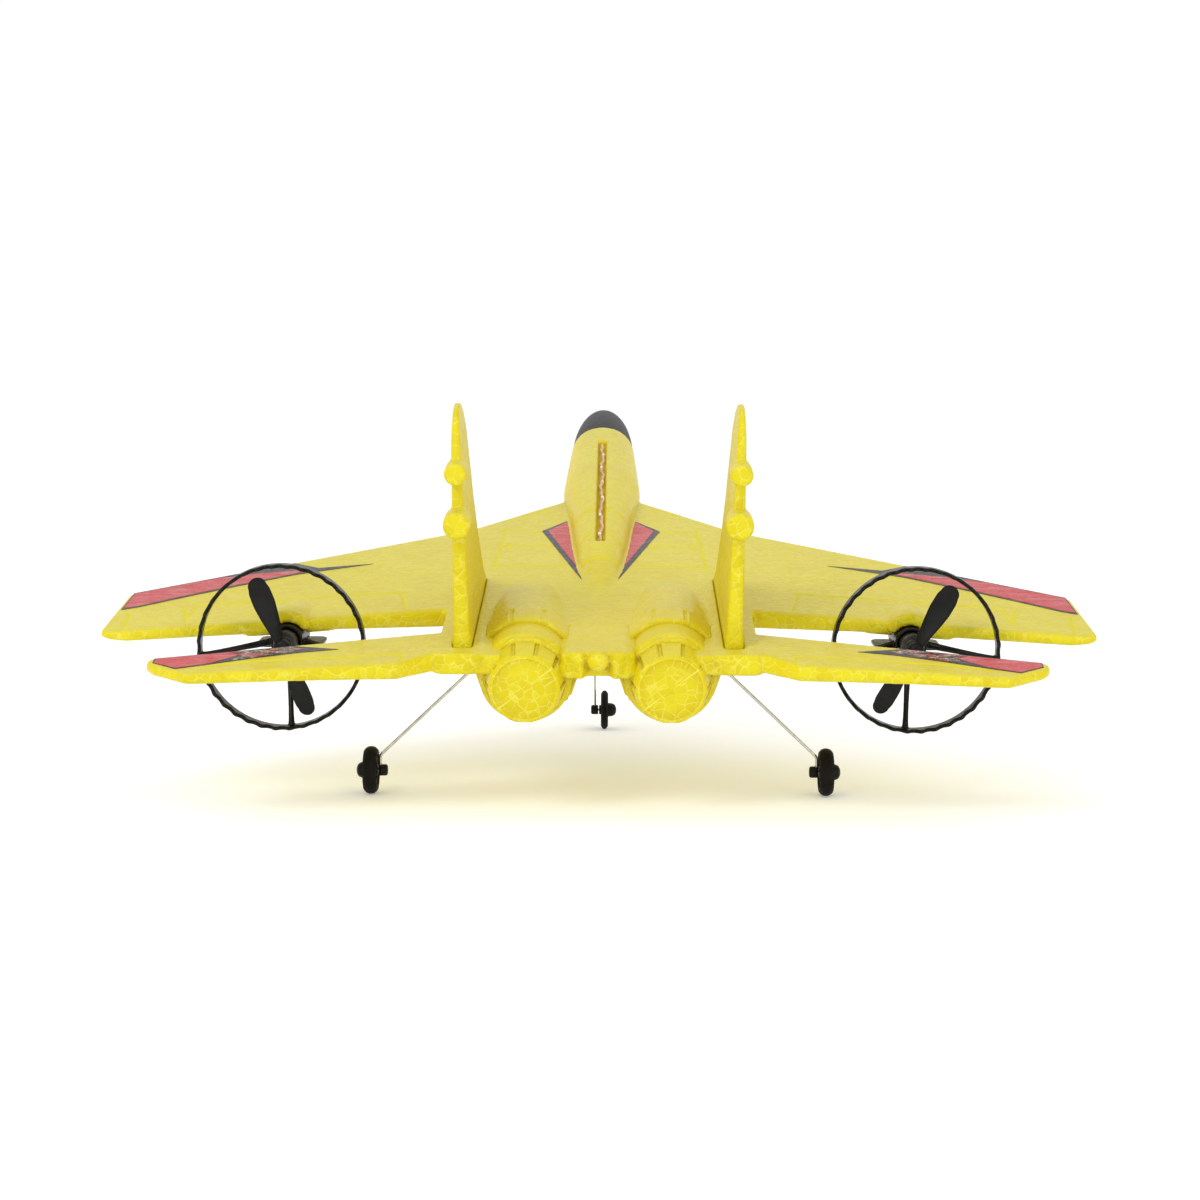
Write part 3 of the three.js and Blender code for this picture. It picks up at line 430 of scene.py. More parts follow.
class Shape:
    """Points and faces gathered from several closed skins, for one mesh."""

    def __init__(self):
        self.points = []
        self.faces = []
        self.looks = []

    def add(self, points, faces, look=0):
        start = len(self.points)
        self.points.extend(np.asarray(points, float).tolist())
        self.faces.extend([[start + i for i in face] for face in faces])
        self.looks.extend([look] * len(faces))
        return self

    def skin(self, rings, look=0, turn=None):
        """A closed skin through rings of points, with a fan over each end."""
        rings = np.asarray(rings, float)
        rows, count = rings.shape[:2]
        points = np.concatenate([rings.reshape(-1, 3), [rings[0].mean(0), rings[-1].mean(0)]])
        faces = []
        for r in range(rows - 1):
            for i in range(count):
                j = (i + 1) % count
                faces.append([r * count + i, r * count + j, (r + 1) * count + j, (r + 1) * count + i])
        first, last = rows * count, rows * count + 1
        for i in range(count):
            j = (i + 1) % count
            faces.append([first, j, i])
            faces.append([last, (rows - 1) * count + i, (rows - 1) * count + j])
        return self.add(*outward(points, faces), look)

    def ring_skin(self, sections, look=0):
        """A closed ring through sections that run round and meet again."""
        sections = np.asarray(sections, float)
        rows, count = sections.shape[:2]
        faces = []
        for r in range(rows):
            s = (r + 1) % rows
            for i in range(count):
                j = (i + 1) % count
                faces.append([r * count + i, r * count + j, s * count + j, s * count + i])
        return self.add(*outward(sections.reshape(-1, 3), faces), look)

    def object(self, name, place, sharp=40):
        obj = new_object(name, self.points, self.faces, place, sharp)
        obj.data.polygons.foreach_set("material_index", self.looks)
        return obj


def outward(points, faces):
    """The same faces, turned so that the skin's volume is positive."""
    points = np.asarray(points, float)
    volume = 0.0
    for face in faces:
        for i in range(1, len(face) - 1):
            a, b, c = points[face[0]], points[face[i]], points[face[i + 1]]
            volume += a[0] * (b[1] * c[2] - b[2] * c[1]) + a[1] * (b[2] * c[0] - b[0] * c[2]) \
                + a[2] * (b[0] * c[1] - b[1] * c[0])
    if volume < 0:
        faces = [face[::-1] for face in faces]
    return points, faces


def rounded(profile, radius, steps=3):
    """Rounds the inner corners of an open profile of points in a plane."""
    profile = [np.array(p, float) for p in profile]
    out = [profile[0]]
    for before, here, after in zip(profile, profile[1:], profile[2:]):
        back, on = before - here, after - here
        reach = min(radius, 0.45 * np.linalg.norm(back), 0.45 * np.linalg.norm(on))
        start = here + back / (np.linalg.norm(back) or 1) * reach
        end = here + on / (np.linalg.norm(on) or 1) * reach
        for t in np.linspace(0, 1, steps + 1):
            out.append((1 - t) ** 2 * start + 2 * t * (1 - t) * here + t ** 2 * end)
    out.append(profile[-1])
    return out


def turned(profile, axis="Y", steps=64, centre=(0, 0, 0)):
    """Rings of a turned body; profile pairs are (radius, place along the axis)."""
    angles = np.linspace(0, 2 * math.pi, steps, endpoint=False)
    cos, sin = np.cos(angles), np.sin(angles)
    rings = []
    for r, h in profile:
        r = max(r, 1e-4)
        along = np.full(steps, h)
        rings.append(np.stack([r * cos, along, r * sin] if axis == "Y" else [along, r * cos, r * sin], 1))
    return np.array(rings) + np.array(centre)


def tube(route, radius, sides=16):
    """Rings round a route; radius is one value or one for each point."""
    route = np.array([list(p) for p in route], float)
    radii = np.broadcast_to(radius, len(route))
    ahead = np.gradient(route, axis=0)
    ahead /= np.linalg.norm(ahead, axis=1)[:, None]
    side = np.array((0.0, 0.0, 1.0)) if abs(ahead[0][2]) < 0.9 else np.array((1.0, 0.0, 0.0))
    angles = np.linspace(0, 2 * math.pi, sides, endpoint=False)
    rings = []
    for centre, direction, r in zip(route, ahead, radii):
        side = side - direction * (side @ direction)
        side /= np.linalg.norm(side)
        other = np.cross(direction, side)
        rings.append(centre + r * (np.cos(angles)[:, None] * side + np.sin(angles)[:, None] * other))
    return rings


PIN_BEVEL = 0.25


def pin(radius, start, end):
    """Rings of a straight pin from start to end, with small chamfers."""
    start, end = np.array(start, float), np.array(end, float)
    unit = (end - start) / np.linalg.norm(end - start)
    route = [start, start + unit * PIN_BEVEL, end - unit * PIN_BEVEL, end]
    return tube(route, [radius - PIN_BEVEL, radius, radius, radius - PIN_BEVEL], 40)


def evaluated(obj):
    """The mesh of obj after its modifiers; obj itself is removed."""
    mesh = bpy.data.meshes.new_from_object(obj.evaluated_get(bpy.context.evaluated_depsgraph_get()))
    bpy.data.objects.remove(obj)
    return mesh


def with_modifier(mesh, kind, **settings):
    obj = bpy.data.objects.new("work", mesh)
    bpy.context.scene.collection.objects.link(obj)
    modifier = obj.modifiers.new(kind.lower(), kind)
    for key, value in settings.items():
        setattr(modifier, key, value)
    return evaluated(obj)


def read_points(mesh):
    points = np.empty(len(mesh.vertices) * 3, np.float32)
    mesh.vertices.foreach_get("co", points)
    return points.reshape(-1, 3).astype(float)


def write_points(mesh, points):
    mesh.vertices.foreach_set("co", points.astype(np.float32).ravel())
    mesh.update()


def read_edges(mesh):
    edges = np.empty(len(mesh.edges) * 2, np.int32)
    mesh.edges.foreach_get("vertices", edges)
    return edges.reshape(-1, 2)


def smoothed(points, edges, rounds):
    """Each point moves half-way to the middle of its neighbours, again and again."""
    count = np.bincount(edges.ravel(), minlength=len(points))[:, None]
    for _ in range(rounds):
        total = np.zeros_like(points)
        for k in range(3):
            total[:, k] = np.bincount(edges[:, 0], points[edges[:, 1], k], len(points)) \
                + np.bincount(edges[:, 1], points[edges[:, 0], k], len(points))
        points = points + 0.5 * (total / count - points)
    return points


def drop_islands(mesh):
    """Keeps only the largest connected skin of a mesh."""
    edges = read_edges(mesh)
    label = np.arange(len(mesh.vertices))
    while True:
        low = np.minimum(label[edges[:, 0]], label[edges[:, 1]])
        new = label.copy()
        np.minimum.at(new, label[edges[:, 0]], low)
        np.minimum.at(new, label[edges[:, 1]], low)
        new = new[new]
        if (new == label).all():
            break
        label = new
    names, counts = np.unique(label, return_counts=True)
    stray = np.flatnonzero(label != names[counts.argmax()])
    if len(stray):
        work = bmesh.new()
        work.from_mesh(mesh)
        work.verts.ensure_lookup_table()
        bmesh.ops.delete(work, geom=[work.verts[i] for i in stray], context="VERTS")
        work.to_mesh(mesh)
        work.free()


def moulded(mesh, voxel, rounds):
    """One continuous moulded skin over a mesh in millimetres, with its edges softened."""
    mesh = with_modifier(mesh, "REMESH", mode="VOXEL", voxel_size=voxel)
    drop_islands(mesh)
    write_points(mesh, smoothed(read_points(mesh), read_edges(mesh), rounds))
    return mesh


def thinned(mesh, triangles):
    """Fewer triangles where the skin is flat, if there are more than the given number."""
    now = 2 * len(mesh.polygons)
    return mesh if now <= triangles else with_modifier(mesh, "DECIMATE", ratio=triangles / now)


def level_copy(node):
    """A CAD node's mesh in the level frame, without its material."""
    mesh = frame["nodes"][node].data.copy()
    mesh.materials.clear()
    mesh.transform(LEVEL.inverted())
    return mesh


def normals_of(mesh):
    """The mesh's vertex normals, one row each."""
    normals = np.empty(len(mesh.vertices) * 3, np.float32)
    mesh.vertex_normals.foreach_get("vector", normals)
    return normals.reshape(-1, 3).astype(float)


# ---------- foam airframe ----------
# Engraved lines on the right half of the upper surface, each a run of (x, y) points.
PANEL_LINES = [
    [(18.6, 145), (32.4, 145)], [(15.2, 125), (33, 125)], [(11, 98.5), (33.6, 98.5)],
    [(31.8, 147.5), (33.4, 94)], [(29.8, 120), (29.8, 129)],
    [(59.4, 66.4), (118, 50), (118.6, 33.3)], [(59.4, 66.4), (56.6, 48)], [(121.5, 48.4), (118.5, 33.3)],
    [(136.2, 41), (134.4, 24)],
]
TAIL_LINES = [[(53.8, 1.2), (93.5, -6.4), (104.5, -10.6)], [(53.8, 1.2), (53.2, -4.6)]]
SPINE_ARCS = [94.5, 114.5, 142.0]
STRAKE_PATCH = [(17.5, 180.5), (28.2, 165.6), (28.2, 169.8), (17.5, 185)]


def run_distance(flat, run):
    """How far each (x, y) is from a run of straight stretches."""
    best = np.full(len(flat), 1e9)
    for a, b in zip(run, run[1:]):
        a, b = np.array(a, float), np.array(b, float)
        t = np.clip(((flat - a) @ (b - a)) / ((b - a) @ (b - a)), 0, 1)
        best = np.minimum(best, np.linalg.norm(flat - (a + t[:, None] * (b - a)), axis=1))
    return best


def inside(flat, corners):
    """How far each (x, y) is inside a convex outline; negative outside."""
    depth = np.full(len(flat), 1e9)
    corners = [np.array(c, float) for c in corners]
    turn = sum(np.cross(b - a, c - b) for a, b, c in zip(corners, corners[1:], corners[2:]))
    for a, b in zip(corners, corners[1:] + corners[:1]):
        edge = (b - a) / np.linalg.norm(b - a)
        across = edge[0] * (flat[:, 1] - a[1]) - edge[1] * (flat[:, 0] - a[0])
        depth = np.minimum(depth, math.copysign(1, turn) * across)
    return depth


def groove_strength(points, normals):
    """0 to 1: how deep in an engraved line each point lies."""
    flat = np.stack([np.abs(points[:, 0]), points[:, 1]], 1)
    on_top = (normals[:, 2] > 0.5) & (np.abs(points[:, 2]) < 1.2)
    strength = np.zeros(len(points))
    for run in PANEL_LINES + TAIL_LINES:
        strength = np.maximum(strength, np.exp(-(run_distance(flat, run) / 0.55) ** 2) * on_top)
    on_spine = (normals[:, 2] > 0.25) & (points[:, 2] > 0.9) & (flat[:, 0] < 13)
    for y in SPINE_ARCS:
        reach = np.abs(points[:, 1] - y + 0.02 * flat[:, 0] ** 2)
        strength = np.maximum(strength, np.exp(-(reach / 0.6) ** 2) * on_spine)
    return strength


def under_nozzle(points):
    """0 to 1: the region that the separate nozzle skins cover."""
    radius = np.hypot(np.abs(points[:, 0]) - NOZZLE_X, points[:, 2] - NOZZLE_Z)
    near = np.clip((15.6 - radius) / 0.5, 0, 1) * np.clip((31.5 - points[:, 1]) / 1.0, 0, 1)
    return near, radius


def shape_airframe(mesh):
    """Engraves lines, raises the strake patches, and tucks the nozzles under their separate skins."""
    points, normals = read_points(mesh), normals_of(mesh)
    flat = np.stack([np.abs(points[:, 0]), points[:, 1]], 1)
    lift = -0.42 * groove_strength(points, normals)
    on_top = (normals[:, 2] > 0.7) & (np.abs(points[:, 2]) < 1.2)
    lift += 0.3 * np.clip(inside(flat, STRAKE_PATCH) / 0.9, 0, 1) * on_top
    points = points + normals * lift[:, None]
    near, radius = under_nozzle(points)
    tuck = 0.9 * near
    centre_x = np.sign(points[:, 0]) * NOZZLE_X
    outward_x = (points[:, 0] - centre_x) / np.maximum(radius, 0.5)
    outward_z = (points[:, 2] - NOZZLE_Z) / np.maximum(radius, 0.5)
    points[:, 0] -= outward_x * tuck
    points[:, 2] -= outward_z * tuck
    points[:, 1] += near * 1.2 * (points[:, 1] < 31)
    write_points(mesh, points)


def add_groove_attribute(mesh):
    strength = groove_strength(read_points(mesh), normals_of(mesh))
    mesh.attributes.new("groove", "FLOAT", "POINT").data.foreach_set("value", strength.astype(np.float32))


def add_airframe():
    mesh = moulded(level_copy("airframe"), 0.62, 3)
    shape_airframe(mesh)
    mesh = thinned(mesh, 190000)
    add_groove_attribute(mesh)
    mesh.transform(LEVEL)
    dress(shaded_object("foam_airframe", mesh, 60), "airframe", "foam", "foam", "airframe")


def without_grooves(mesh):
    """Foam pieces that have no engraved lines still carry the attribute that the foam's look reads."""
    mesh.attributes.new("groove", "FLOAT", "POINT")


def add_fins():
    """Each fin's foot is a little thicker, so that it fills its slot as pressed foam does."""
    for name in SIDES:
        mesh = moulded(level_copy(f"fin_{name}"), 0.42, 3)
        points = read_points(mesh)
        swell = 0.22 * np.clip((4 - points[:, 2]) / 2, 0, 1)
        write_points(mesh, points + normals_of(mesh) * swell[:, None])
        without_grooves(mesh)
        mesh = thinned(mesh, 120000)
        mesh.transform(LEVEL)
        dress(shaded_object(f"foam_fin_{name}", mesh, 60), "airframe", "foam", "foam", f"fin_{name}")


# Nozzle skin, front to back: (y, radius, 1 if faceted, depth of the groove at each facet joint).
NOZZLE_RUN = [
    (36, 12.6, 1, 0), (31.2, 14.55, 1, 0), (30.4, 14.6, 1, 0), (30.0, 14.6, 1, 0.55), (21.2, 14.45, 1, 0.55),
    (20.5, 14.3, 1, 0.5), (20.1, 13.9, 1, 0.3), (20.0, 13.4, 0, 0), (19.6, 13.15, 0, 0), (15, 12.95, 0, 0),
    (11.2, 12.85, 0, 0), (10.5, 12.6, 0, 0), (10.1, 12.2, 0, 0), (9.9, 11.9, 1, 0), (9.1, 11.75, 1, 0),
    (8.8, 11.5, 1, 0.2), (8.7, 11.0, 1, 0.9), (8.2, 10.85, 1, 1.1), (3, 10.1, 1, 1.0), (1.2, 9.75, 1, 0.7),
    (0.8, 9.55, 1, 0.2), (0.5, 9.42, 0, 0), (0.15, 9.3, 0, 0), (0, 9.0, 0, 0), (0.02, 8.75, 0, 0),
    (0.22, 8.55, 0, 0), (0.22, 6, 0, 0), (0.22, 3, 0, 0),
]


def nozzle_rings():
    """One nozzle as rings, with a flat facet in each sector and a groove at each joint."""
    steps = 400
    angles = np.linspace(0, 2 * math.pi, steps, endpoint=False)
    sector = 2 * math.pi / NOZZLE_SIDES
    off_flat = (angles - math.pi / 2 + sector / 2) % sector - sector / 2
    off_joint = sector / 2 - np.abs(off_flat)
    rings = []
    for y, radius, faceted, depth in NOZZLE_RUN:
        r = radius / np.cos(off_flat) if faceted else np.full(steps, float(radius))
        r = r - depth * np.exp(-(off_joint * radius / 0.62) ** 4)
        rings.append(np.stack([r * np.cos(angles), np.full(steps, float(y)), r * np.sin(angles)], 1))
    return np.array(rings) + np.array((NOZZLE_X, 0, NOZZLE_Z))


def add_nozzles():
    rings = nozzle_rings()
    for name, side in SIDES.items():
        obj = Shape().skin(rings).object(f"nozzle_skin_{name}", side_matrix(side), 32)
        without_grooves(obj.data)
        dress(obj, "airframe", "foam", "foam")
    ball = [(2.95 * math.cos(a), 2.95 * math.sin(a)) for a in np.linspace(-math.pi / 2, math.pi / 2, 33)]
    obj = Shape().skin(turned(ball, "Y", 64, (0, 3.3, -2.2))).object("tail_ball", LEVEL)
    without_grooves(obj.data)
    dress(obj, "airframe", "foam", "foam")


# ---------- nose cone and light string ----------
def add_nose_cone():
    length = NOSE_TIP - NOSE_BASE
    angles = np.linspace(0, math.pi / 2, 40)
    outer = [(NOSE_RADIUS * math.cos(a), NOSE_BASE + length * math.sin(a)) for a in angles]
    inside_radius = NOSE_RADIUS - NOSE_WALL
    inner = [(inside_radius * math.cos(a), NOSE_BASE + (length - 3) * math.sin(a)) for a in angles[::-1]]
    rim = [(inside_radius, NOSE_BASE), (NOSE_RADIUS - 0.25, NOSE_BASE), (NOSE_RADIUS, NOSE_BASE + 0.25)]
    shape = Shape().skin(turned(inner + rim + outer[1:], "Y", 96, (0, 0, NOSE_Z)))
    dress(shape.object("nose_cone_shell", LEVEL), "airframe", "nose_gloss", "nose_gloss", "nose_cone")


def spine_top(y):
    return float(np.interp(y, [p[0] for p in SPINE_TOP], [p[1] for p in SPINE_TOP]))


def add_light_string():
    """Two lacquered copper wires twisted together, with a small resin-covered light every so often."""
    start, end, pitch, wire, apart = SLOT_FROM + 3, SLOT_TO - 3, 3.6, 0.27, 0.33
    shape = Shape()
    ys = np.linspace(start, end, 640)
    wander = 0.35 * np.sin(ys * 0.21) + 0.2 * np.sin(ys * 0.57)
    for phase in (0, math.pi):
        turn = 2 * math.pi * ys / pitch + phase
        height = np.array([spine_top(y) for y in ys]) - SLOT_DEPTH + 1.45
        route = np.stack([wander + apart * np.cos(turn), ys, height + apart * np.sin(turn)], 1)
        shape.skin(tube(route, wire, 8))
    for y in np.arange(start + 6, end, 21):
        middle = 0.35 * math.sin(y * 0.21) + 0.2 * math.sin(y * 0.57)
        bead = [(0.6 * math.cos(a), 1.1 * math.sin(a)) for a in np.linspace(-math.pi / 2, math.pi / 2, 13)]
        shape.skin(turned(bead, "Y", 20, (middle, y, spine_top(y) - SLOT_DEPTH + 1.55)), look=1)
    dress(shape.object("light_wires", LEVEL), "airframe", "copper", ["copper", "resin"], "light_string")


# ---------- printed films ----------
FILM_LIFT, FILM_THICK, PRINT_THICK = 0.05, 0.1, 0.03
DECK_FILM = [(19.7, 146.2), (11.4, 161.5), (5.6, 82)]
DECK_PRINT = [(17.7, 146.5), (11.6, 159.6), (6.3, 93)]
WING_FILM = [(139.3, 63.3), (96.5, 100.8), (88.2, 94.8), (71.7, 100.5), (88.5, 90.2), (94.5, 86.2),
             (111.4, 70.9), (124.2, 58.5), (135, 47.6), (139.3, 44.8)]
WING_PRINT = [(138.9, 62.9), (118, 81), (106, 87.3), (89.5, 92.9), (90, 91.4), (95.2, 87.2), (112, 72),
              (124.8, 59.5), (135.5, 48.7), (138.9, 46.6)]
TAIL_FILM = [(119.6, -4.4), (84, 8.2), (71.1, 5.4), (81.1, 2.2), (93.3, -3.5), (103.2, -8.9), (112.3, -13.6),
             (119.4, -8.2)]
TAIL_PRINT = [(119.2, -4.6), (101, 1.6), (96, 2.2), (99, -2.6), (104.2, -8.6), (112.2, -13.0), (119.0, -8.3)]
TAIL_STREAKS = [(101, 1.7), (84.5, 7.4), (80, 5.4), (86, 1.4), (93.3, -2.9), (99, -6), (97, -1)]


def plate_skin(shape, outline, bottom, top, look):
    """A thin flat sheet with the given outline."""
    count = len(outline)
    points = [(x, y, bottom) for x, y in outline] + [(x, y, top) for x, y in outline]
    faces = [list(range(count)), list(range(count, 2 * count))[::-1]]
    for i in range(count):
        j = (i + 1) % count
        faces.append([i, i + count, j + count, j])
    shape.add(*outward(points, faces), look)


def add_films():
    sheets = {
        "deck_decal": [(DECK_FILM, 0), (DECK_PRINT, 1)],
        "wing_decal": [(WING_FILM, 0), (WING_PRINT, 1)],
        "tail_decal": [(TAIL_FILM, 0), (TAIL_PRINT, 1), (TAIL_STREAKS, 2)],
    }
    top = FILM_LIFT + FILM_THICK
    for node, layers in sheets.items():
        for name, side in SIDES.items():
            shape = Shape()
            for outline, look in layers:
                bottom = FILM_LIFT if look == 0 else top + 0.01
                plate_skin(shape, outline, bottom, top if look == 0 else top + PRINT_THICK, look)
            obj = shape.object(f"{node}_film_{name}", side_matrix(side), 30)
            dress(obj, "airframe", "film", ["film_grey", "film_red", "tail_print"], f"{node}_{name}")


# ---------- thrust units ----------
def guard_ring():
    """The guard's thin ring: a straight front edge, and a wavy rear edge."""
    steps, waves = 360, 36
    sections = []
    for k in range(steps):
        a = 2 * math.pi * k / steps
        rear = -GUARD_HALF_DEPTH + 0.7 * math.cos(waves * a)
        corners = [(GUARD_INNER, rear), (GUARD_OUTER, rear), (GUARD_OUTER, GUARD_HALF_DEPTH),
                   (GUARD_INNER, GUARD_HALF_DEPTH)]
        loop = rounded([corners[-1], *corners, corners[0]], 0.35, 3)[1:-1]
        sections.append([(r * math.cos(a), y, r * math.sin(a)) for r, y in loop])
    return sections


# The flange beside the holder tube, right half, in the thrust unit's frame.
FLANGE = [(4.1, 12.6), (8.4, 12.6), (9.6, 14), (9.6, 24.6), (8.4, 26), (4.1, 26)]
SPOKE_ENDS = [(-22.95, -2.6), (22.95, -2.6), (-2.3, -23.0)]


def guard_mesh():
    """Ring, holder tube, raked spokes and flange, moulded together."""
    shape = Shape().ring_skin(guard_ring())
    tube_profile = [(HOLDER_INNER, 8.5), (HOLDER_OUTER, 8.5), (HOLDER_OUTER, 24.5), (HOLDER_INNER, 24.5)]
    loop = rounded([tube_profile[-1], *tube_profile, tube_profile[0]], 0.3, 2)[1:-1]
    sections = []
    for a in np.linspace(0, 2 * math.pi, 96, endpoint=False):
        sections.append([(r * math.cos(a), y, r * math.sin(a)) for r, y in loop])
    shape.ring_skin(sections)
    for x, z in SPOKE_ENDS:
        reach = math.hypot(x, z)
        start, end = np.array((x / reach * 4.2, 11.6, z / reach * 4.2)), np.array((x, 0.2, z))
        steps = np.linspace(0, 1, 24)
        route = [start + (end - start) * t for t in steps]
        radii = 0.72 + 0.45 * (1 - steps) ** 2 + 0.35 * steps ** 8
        shape.skin(tube(route, radii, 16))
    for side in (1, -1):
        plate_skin(shape, [(side * x, y) for x, y in FLANGE], -2.45, -1.45, 0)
    mesh = bpy.data.meshes.new("guard")
    mesh.from_pydata(shape.points, [], shape.faces)
    return moulded(mesh, 0.24, 2)


BLADE = [(1.6, 3.2, 40), (5, 4.2, 36), (9, 5.5, 30), (13, 6.4, 25), (17, 6.2, 21), (19.3, 4.8, 19),
         (20.5, 2.6, 18), (20.9, 1.2, 18)]
BLADE_THICKNESS = [(1.6, 1.3), (9, 0.9), (20.9, 0.5)]
BLADE_TILT = {"right": 30, "left": 21}


def blade_rings():
    """One blade along +X, twisted and tapered, with a rounded tip."""
    stations, around = 48, 36
    angles = np.linspace(0, 2 * math.pi, around, endpoint=False)
    radii = 20.9 - (20.9 - 1.6) * (1 - np.linspace(0, 1, stations)) ** 1.6
    given = np.array(BLADE, float)
    fine = np.linspace(given[0, 0], given[-1, 0], 400)
    chord = np.pad(np.interp(fine, given[:, 0], given[:, 1]), 12, "edge")
    chord = np.convolve(chord, np.ones(25) / 25, "valid")
    rings = []
    for r in radii:
        tip = math.sqrt(max(0.0, 1 - max(0, (r - 18.4) / 2.5) ** 2))
        width = max(0.35, float(np.interp(r, fine, chord)) if r < 18.4 else 5.35 * tip)
        pitch = math.radians(float(np.interp(r, given[:, 0], given[:, 2])))
        thick = float(np.interp(r, *zip(*BLADE_THICKNESS))) * max(0.5, tip)
        across, through = width / 2 * np.cos(angles), thick / 2 * np.sin(angles)
        through = through + 0.04 * width * (1 - (2 * across / width) ** 2)
        rings.append(np.stack([np.full(around, r), across * math.sin(pitch) + through * math.cos(pitch),
                               across * math.cos(pitch) - through * math.sin(pitch)], 1))
    return np.array(rings)


def add_propeller(name, side):
    shape = Shape()
    hub = rounded([(0, -2), (1.25, -2), (2.3, -1), (2.3, 2.6), (0.9, 2.6), (0.9, 1.6), (0, 1.6)], 0.4)
    shape.skin(turned(hub, "Y", 48))
    tilt = -(math.pi / 2 - math.radians(BLADE_TILT[name]))
    rings = blade_rings()
    for half_turn in (0, math.pi):
        turn = np.array(Matrix.Rotation(tilt + half_turn, 3, "Y"))
        shape.skin(rings @ turn.T)
    dress(shape.object(f"propeller_blades_{name}", thrust_matrix(side), 50), f"propeller_{name}",
          "black_plastic", "black_plastic", f"propeller_{name}")


def add_motor(name, side):
    """A small can motor with rolled edges and a bearing boss."""
    shape = Shape()
    can = rounded([(0, 21.5), (2.2, 21.5), (2.5, 21.2), (3.5, 21.2), (3.5, 5.5), (1.7, 5.5), (1.6, 4.6),
                   (0.9, 4.6), (0.9, 5.6), (0, 5.6)], 0.45)
    shape.skin(turned(can, "Y", 64))
    place = thrust_matrix(side)
    dress(shape.object(f"motor_can_{name}", place), "airframe", "motor_can", "motor_can", f"motor_{name}")


LEAD_ROUTE = [(88.2, 49.5, -4.9), (85.2, 53, -4.9), (78, 58, -4.7), (60, 63, -5), (46, 65, -5.7),
              (38, 66, -6.6), (31, 66, -7.4)]


def add_thrust_units():
    mesh = guard_mesh()
    for name, side in SIDES.items():
        own = mesh.copy()
        own.transform(thrust_matrix(side))
        if side < 0:
            own.flip_normals()
        dress(shaded_object(f"guard_{name}", own, 60), "airframe", "black_plastic", "guard",
              f"motor_mount_{name}")
        add_motor(name, side)
        add_propeller(name, side)
        lead = Shape().skin(tube(rounded(LEAD_ROUTE, 3, 8), 0.6, 14))
        dress(lead.object(f"motor_wire_{name}", side_matrix(side)), "airframe", "lead_red", "lead_red",
              f"motor_lead_{name}")


# ---------- landing gear ----------
def tyre_rings(half):
    """A solid foam-rubber tyre: rounded crown, a shallow ring pressed into each side."""
    side_wall = [(TYRE_INNER, -half + 0.45), (4.9, -half + 0.1), (5.3, -half), (5.5, -half + 0.12),
                 (5.7, -half + 0.12), (5.9, -half), (6.35, -half + 0.35), (6.75, -0.57 * half),
                 (6.95, -0.25 * half)]
    other = [(r, -x) for r, x in side_wall[::-1]]
    return [*side_wall, (WHEEL_RADIUS, 0), *other]


def add_wheel(name, side, axle, corners, tyre_half):
    body = f"wheel_{name}"
    place = side_matrix(side)
    sections = []
    loop = tyre_rings(tyre_half)
    for a in np.linspace(0, 2 * math.pi, 128, endpoint=False):
        sections.append([(axle.x + x, axle.y + r * math.cos(a), axle.z + r * math.sin(a)) for r, x in loop])
    tyre = Shape().ring_skin(sections)
    dress(tyre.object(f"tyre_rubber_{name}", place, 50), body, "black_tyre", "black_tyre", f"tyre_{name}")
    rim = tyre_half - 0.5
    hub = [(1.7, -2), (1.7, -0.5), (3.5, -0.5), (3.7, -rim), (4.3, -rim), (4.3, rim), (3.7, rim),
           (3.3, 0.6), (2.5, 0.6), (2.4, 2.6), (1.9, 3.7), (0.9, 4.2), (0, 4.3)]
    bore = [(0, 3.4), (0.75, 3.4), (0.75, -2)]
    rings = turned(rounded(bore + hub, 0.25, 2), "X", 64, tuple(axle))
    wheel_hub = Shape().skin(rings)
    dress(wheel_hub.object(f"hub_{name}", place, 45), body, "black_plastic", "black_plastic",
          f"wheel_hub_{name}")
    route = rounded(corners, 1.1, 8)
    wire = Shape().skin(tube(route, WIRE_RADIUS, 20))
    dress(wire.object(f"leg_wire_{name}", place), "airframe", "steel", "steel", f"gear_wire_{name}")
    collar = rounded([(0.62, -4.9), (1.3, -4.9), (1.7, -4.5), (1.7, -2.3), (0.62, -2.3)], 0.2, 2)
    ring = Shape().ring_skin([[(axle.x + x, axle.y + r * math.cos(a), axle.z + r * math.sin(a))
                               for r, x in collar] for a in np.linspace(0, 2 * math.pi, 48, endpoint=False)])
    dress(ring.object(f"stop_collar_{name}", place), "airframe", "black_plastic", "black_plastic",
          f"axle_collar_{name}")


def add_socket(name, place, at, inward):
    """The plastic bush that grips a leg where it leaves the foam."""
    at, inward = np.array(at, float), np.array(inward, float) / np.linalg.norm(inward)
    bush = pin(1.9, at - inward * 0.8, at + inward * 5)
    dress(Shape().skin(bush).object(f"leg_bush_{name}", place), "airframe", "black_plastic", "black_plastic",
          f"gear_socket_{name}")


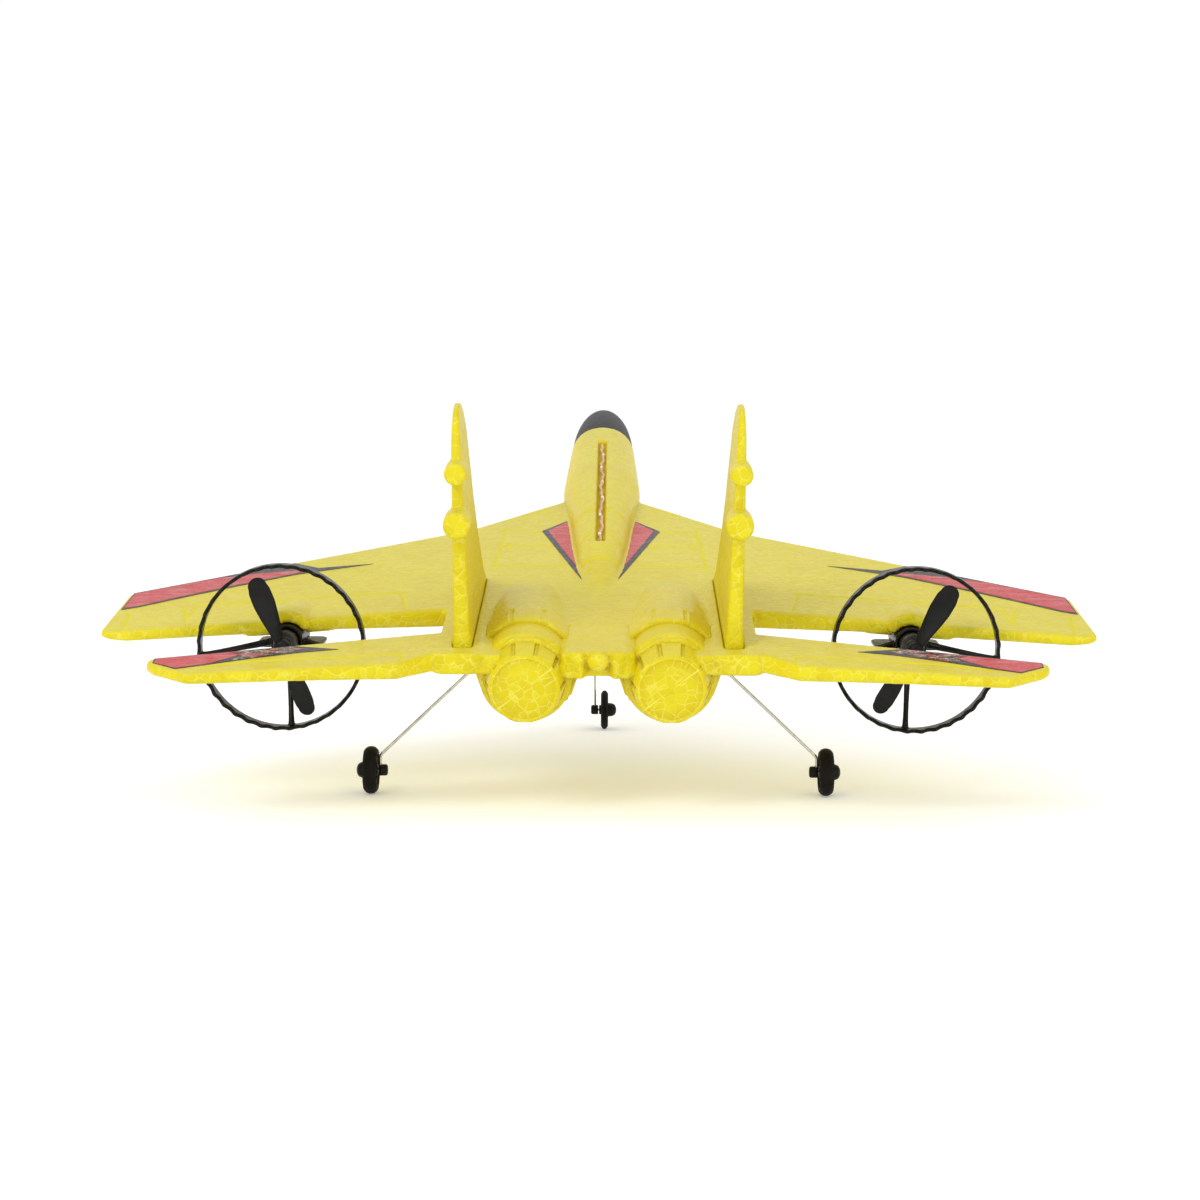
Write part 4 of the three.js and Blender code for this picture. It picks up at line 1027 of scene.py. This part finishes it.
def add_gear():
    knee = Vector((64, MAIN_AXLE.y, -42))
    top = Vector((26.6, MAIN_AXLE.y, -5.7))
    foot = Vector((64, MAIN_AXLE.y, MAIN_AXLE.z))
    inward = (top - knee).normalized()
    for name, side in SIDES.items():
        corners = [top, knee, foot, MAIN_AXLE + Vector((3.2, 0, 0))]
        add_wheel(name, side, MAIN_AXLE, corners, MAIN_TYRE_HALF)
        add_socket(name, side_matrix(side), knee + inward * 42.6, inward)
    knee = Vector((NOSE_LEG_TOP.x, NOSE_AXLE.y, NOSE_AXLE.z))
    add_wheel("nose", 1, NOSE_AXLE, [NOSE_LEG_TOP, knee, NOSE_AXLE + Vector((3.2, 0, 0))], NOSE_TYRE_HALF)
    inward = (NOSE_LEG_TOP - knee).normalized()
    drop = (NOSE_LEG_TOP.z - NOSE_LEG_EXIT_Z) / inward.z
    add_socket("nose", LEVEL, NOSE_LEG_TOP - inward * drop, inward)


# ---------- belly bay ----------
def bevelled(node, width):
    """A CAD node's own shape with its edges broken, as moulded parts have them."""
    mesh = level_copy(node)
    work = bmesh.new()
    work.from_mesh(mesh)
    bmesh.ops.remove_doubles(work, verts=work.verts, dist=1e-3)
    bmesh.ops.dissolve_limit(work, angle_limit=math.radians(2), verts=work.verts, edges=work.edges)
    work.to_mesh(mesh)
    work.free()
    mesh = with_modifier(mesh, "BEVEL", width=width, segments=3, limit_method="ANGLE",
                         angle_limit=math.radians(40))
    mesh.transform(LEVEL)
    return mesh


def add_screw(name, y):
    """A pan-head screw with a cross recess."""
    z = HATCH_BOTTOM - 1.2
    head = rounded([(0, 0), (1.2, 0.02), (1.6, 0.4), (1.6, 0.9), (0.6, 0.9), (0.6, 6.2), (0, 6.8)], 0.12, 2)
    body = Shape().skin(turned(head, "Y", 48)).object("screw", Matrix.Identity(4))
    cross = Shape()
    for a, b in ((0.95, 0.2), (0.2, 0.95)):
        cross.skin([[(x, h, w) for x, w in ((-a, -b), (a, -b), (a, b), (-a, b))] for h in (-0.5, 0.45)])
    tool = cross.object("cross", Matrix.Identity(4))
    modifier = body.modifiers.new("recess", "BOOLEAN")
    modifier.object = tool
    modifier.solver = "EXACT"
    modifier.use_self = True
    mesh = evaluated(body)
    bpy.data.objects.remove(tool)
    mesh.transform(LEVEL @ Matrix.Translation((0, y, z)) @ Matrix.Rotation(math.pi / 2, 4, "X"))
    dress(shaded_object(f"pan_screw_{name}", mesh, 35), "airframe", "steel", "steel", f"hatch_screw_{name}")


def add_bay():
    pieces = {"battery_hatch": (0.22, "black_plastic", "black_plastic"),
              "charge_socket": (0.15, "plug_white", "plug_white"),
              "battery_plug": (0.2, "plug_white", "plug_white"),
              "battery_cell": (0.5, "cell_wrap", "cell_wrap"),
              "power_switch_body": (0.12, "motor_can", "motor_can")}
    for node, (width, slot, look) in pieces.items():
        dress(shaded_object(f"{node}_moulding", bevelled(node, width), 40), "airframe", slot, look, node)
    knob = shaded_object("switch_knob", bevelled("power_switch_slider", 0.2), 40)
    dress(knob, "power_switch", "plug_white", "plug_white", "power_switch_slider")
    for name, y in SCREW_YS.items():
        add_screw(name, y)


# CAD nodes that are right as they are, with the look that each one gets.
CARRIED = {"receiver_board": "board", "battery_lead_red": "lead_red", "battery_lead_black": "lead_black",
           "motor_shaft_left": "steel", "motor_shaft_right": "steel"}


def dress_carried_nodes():
    for node, look in CARRIED.items():
        obj = frame["nodes"][node]
        obj.data.materials.clear()
        obj.data.materials.append(LOOKS[look])


add_camera()
add_studio()
LOOKS = make_materials()
add_airframe()
add_fins()
add_nozzles()
add_nose_cone()
add_light_string()
add_films()
add_thrust_units()
add_gear()
add_bay()
dress_carried_nodes()
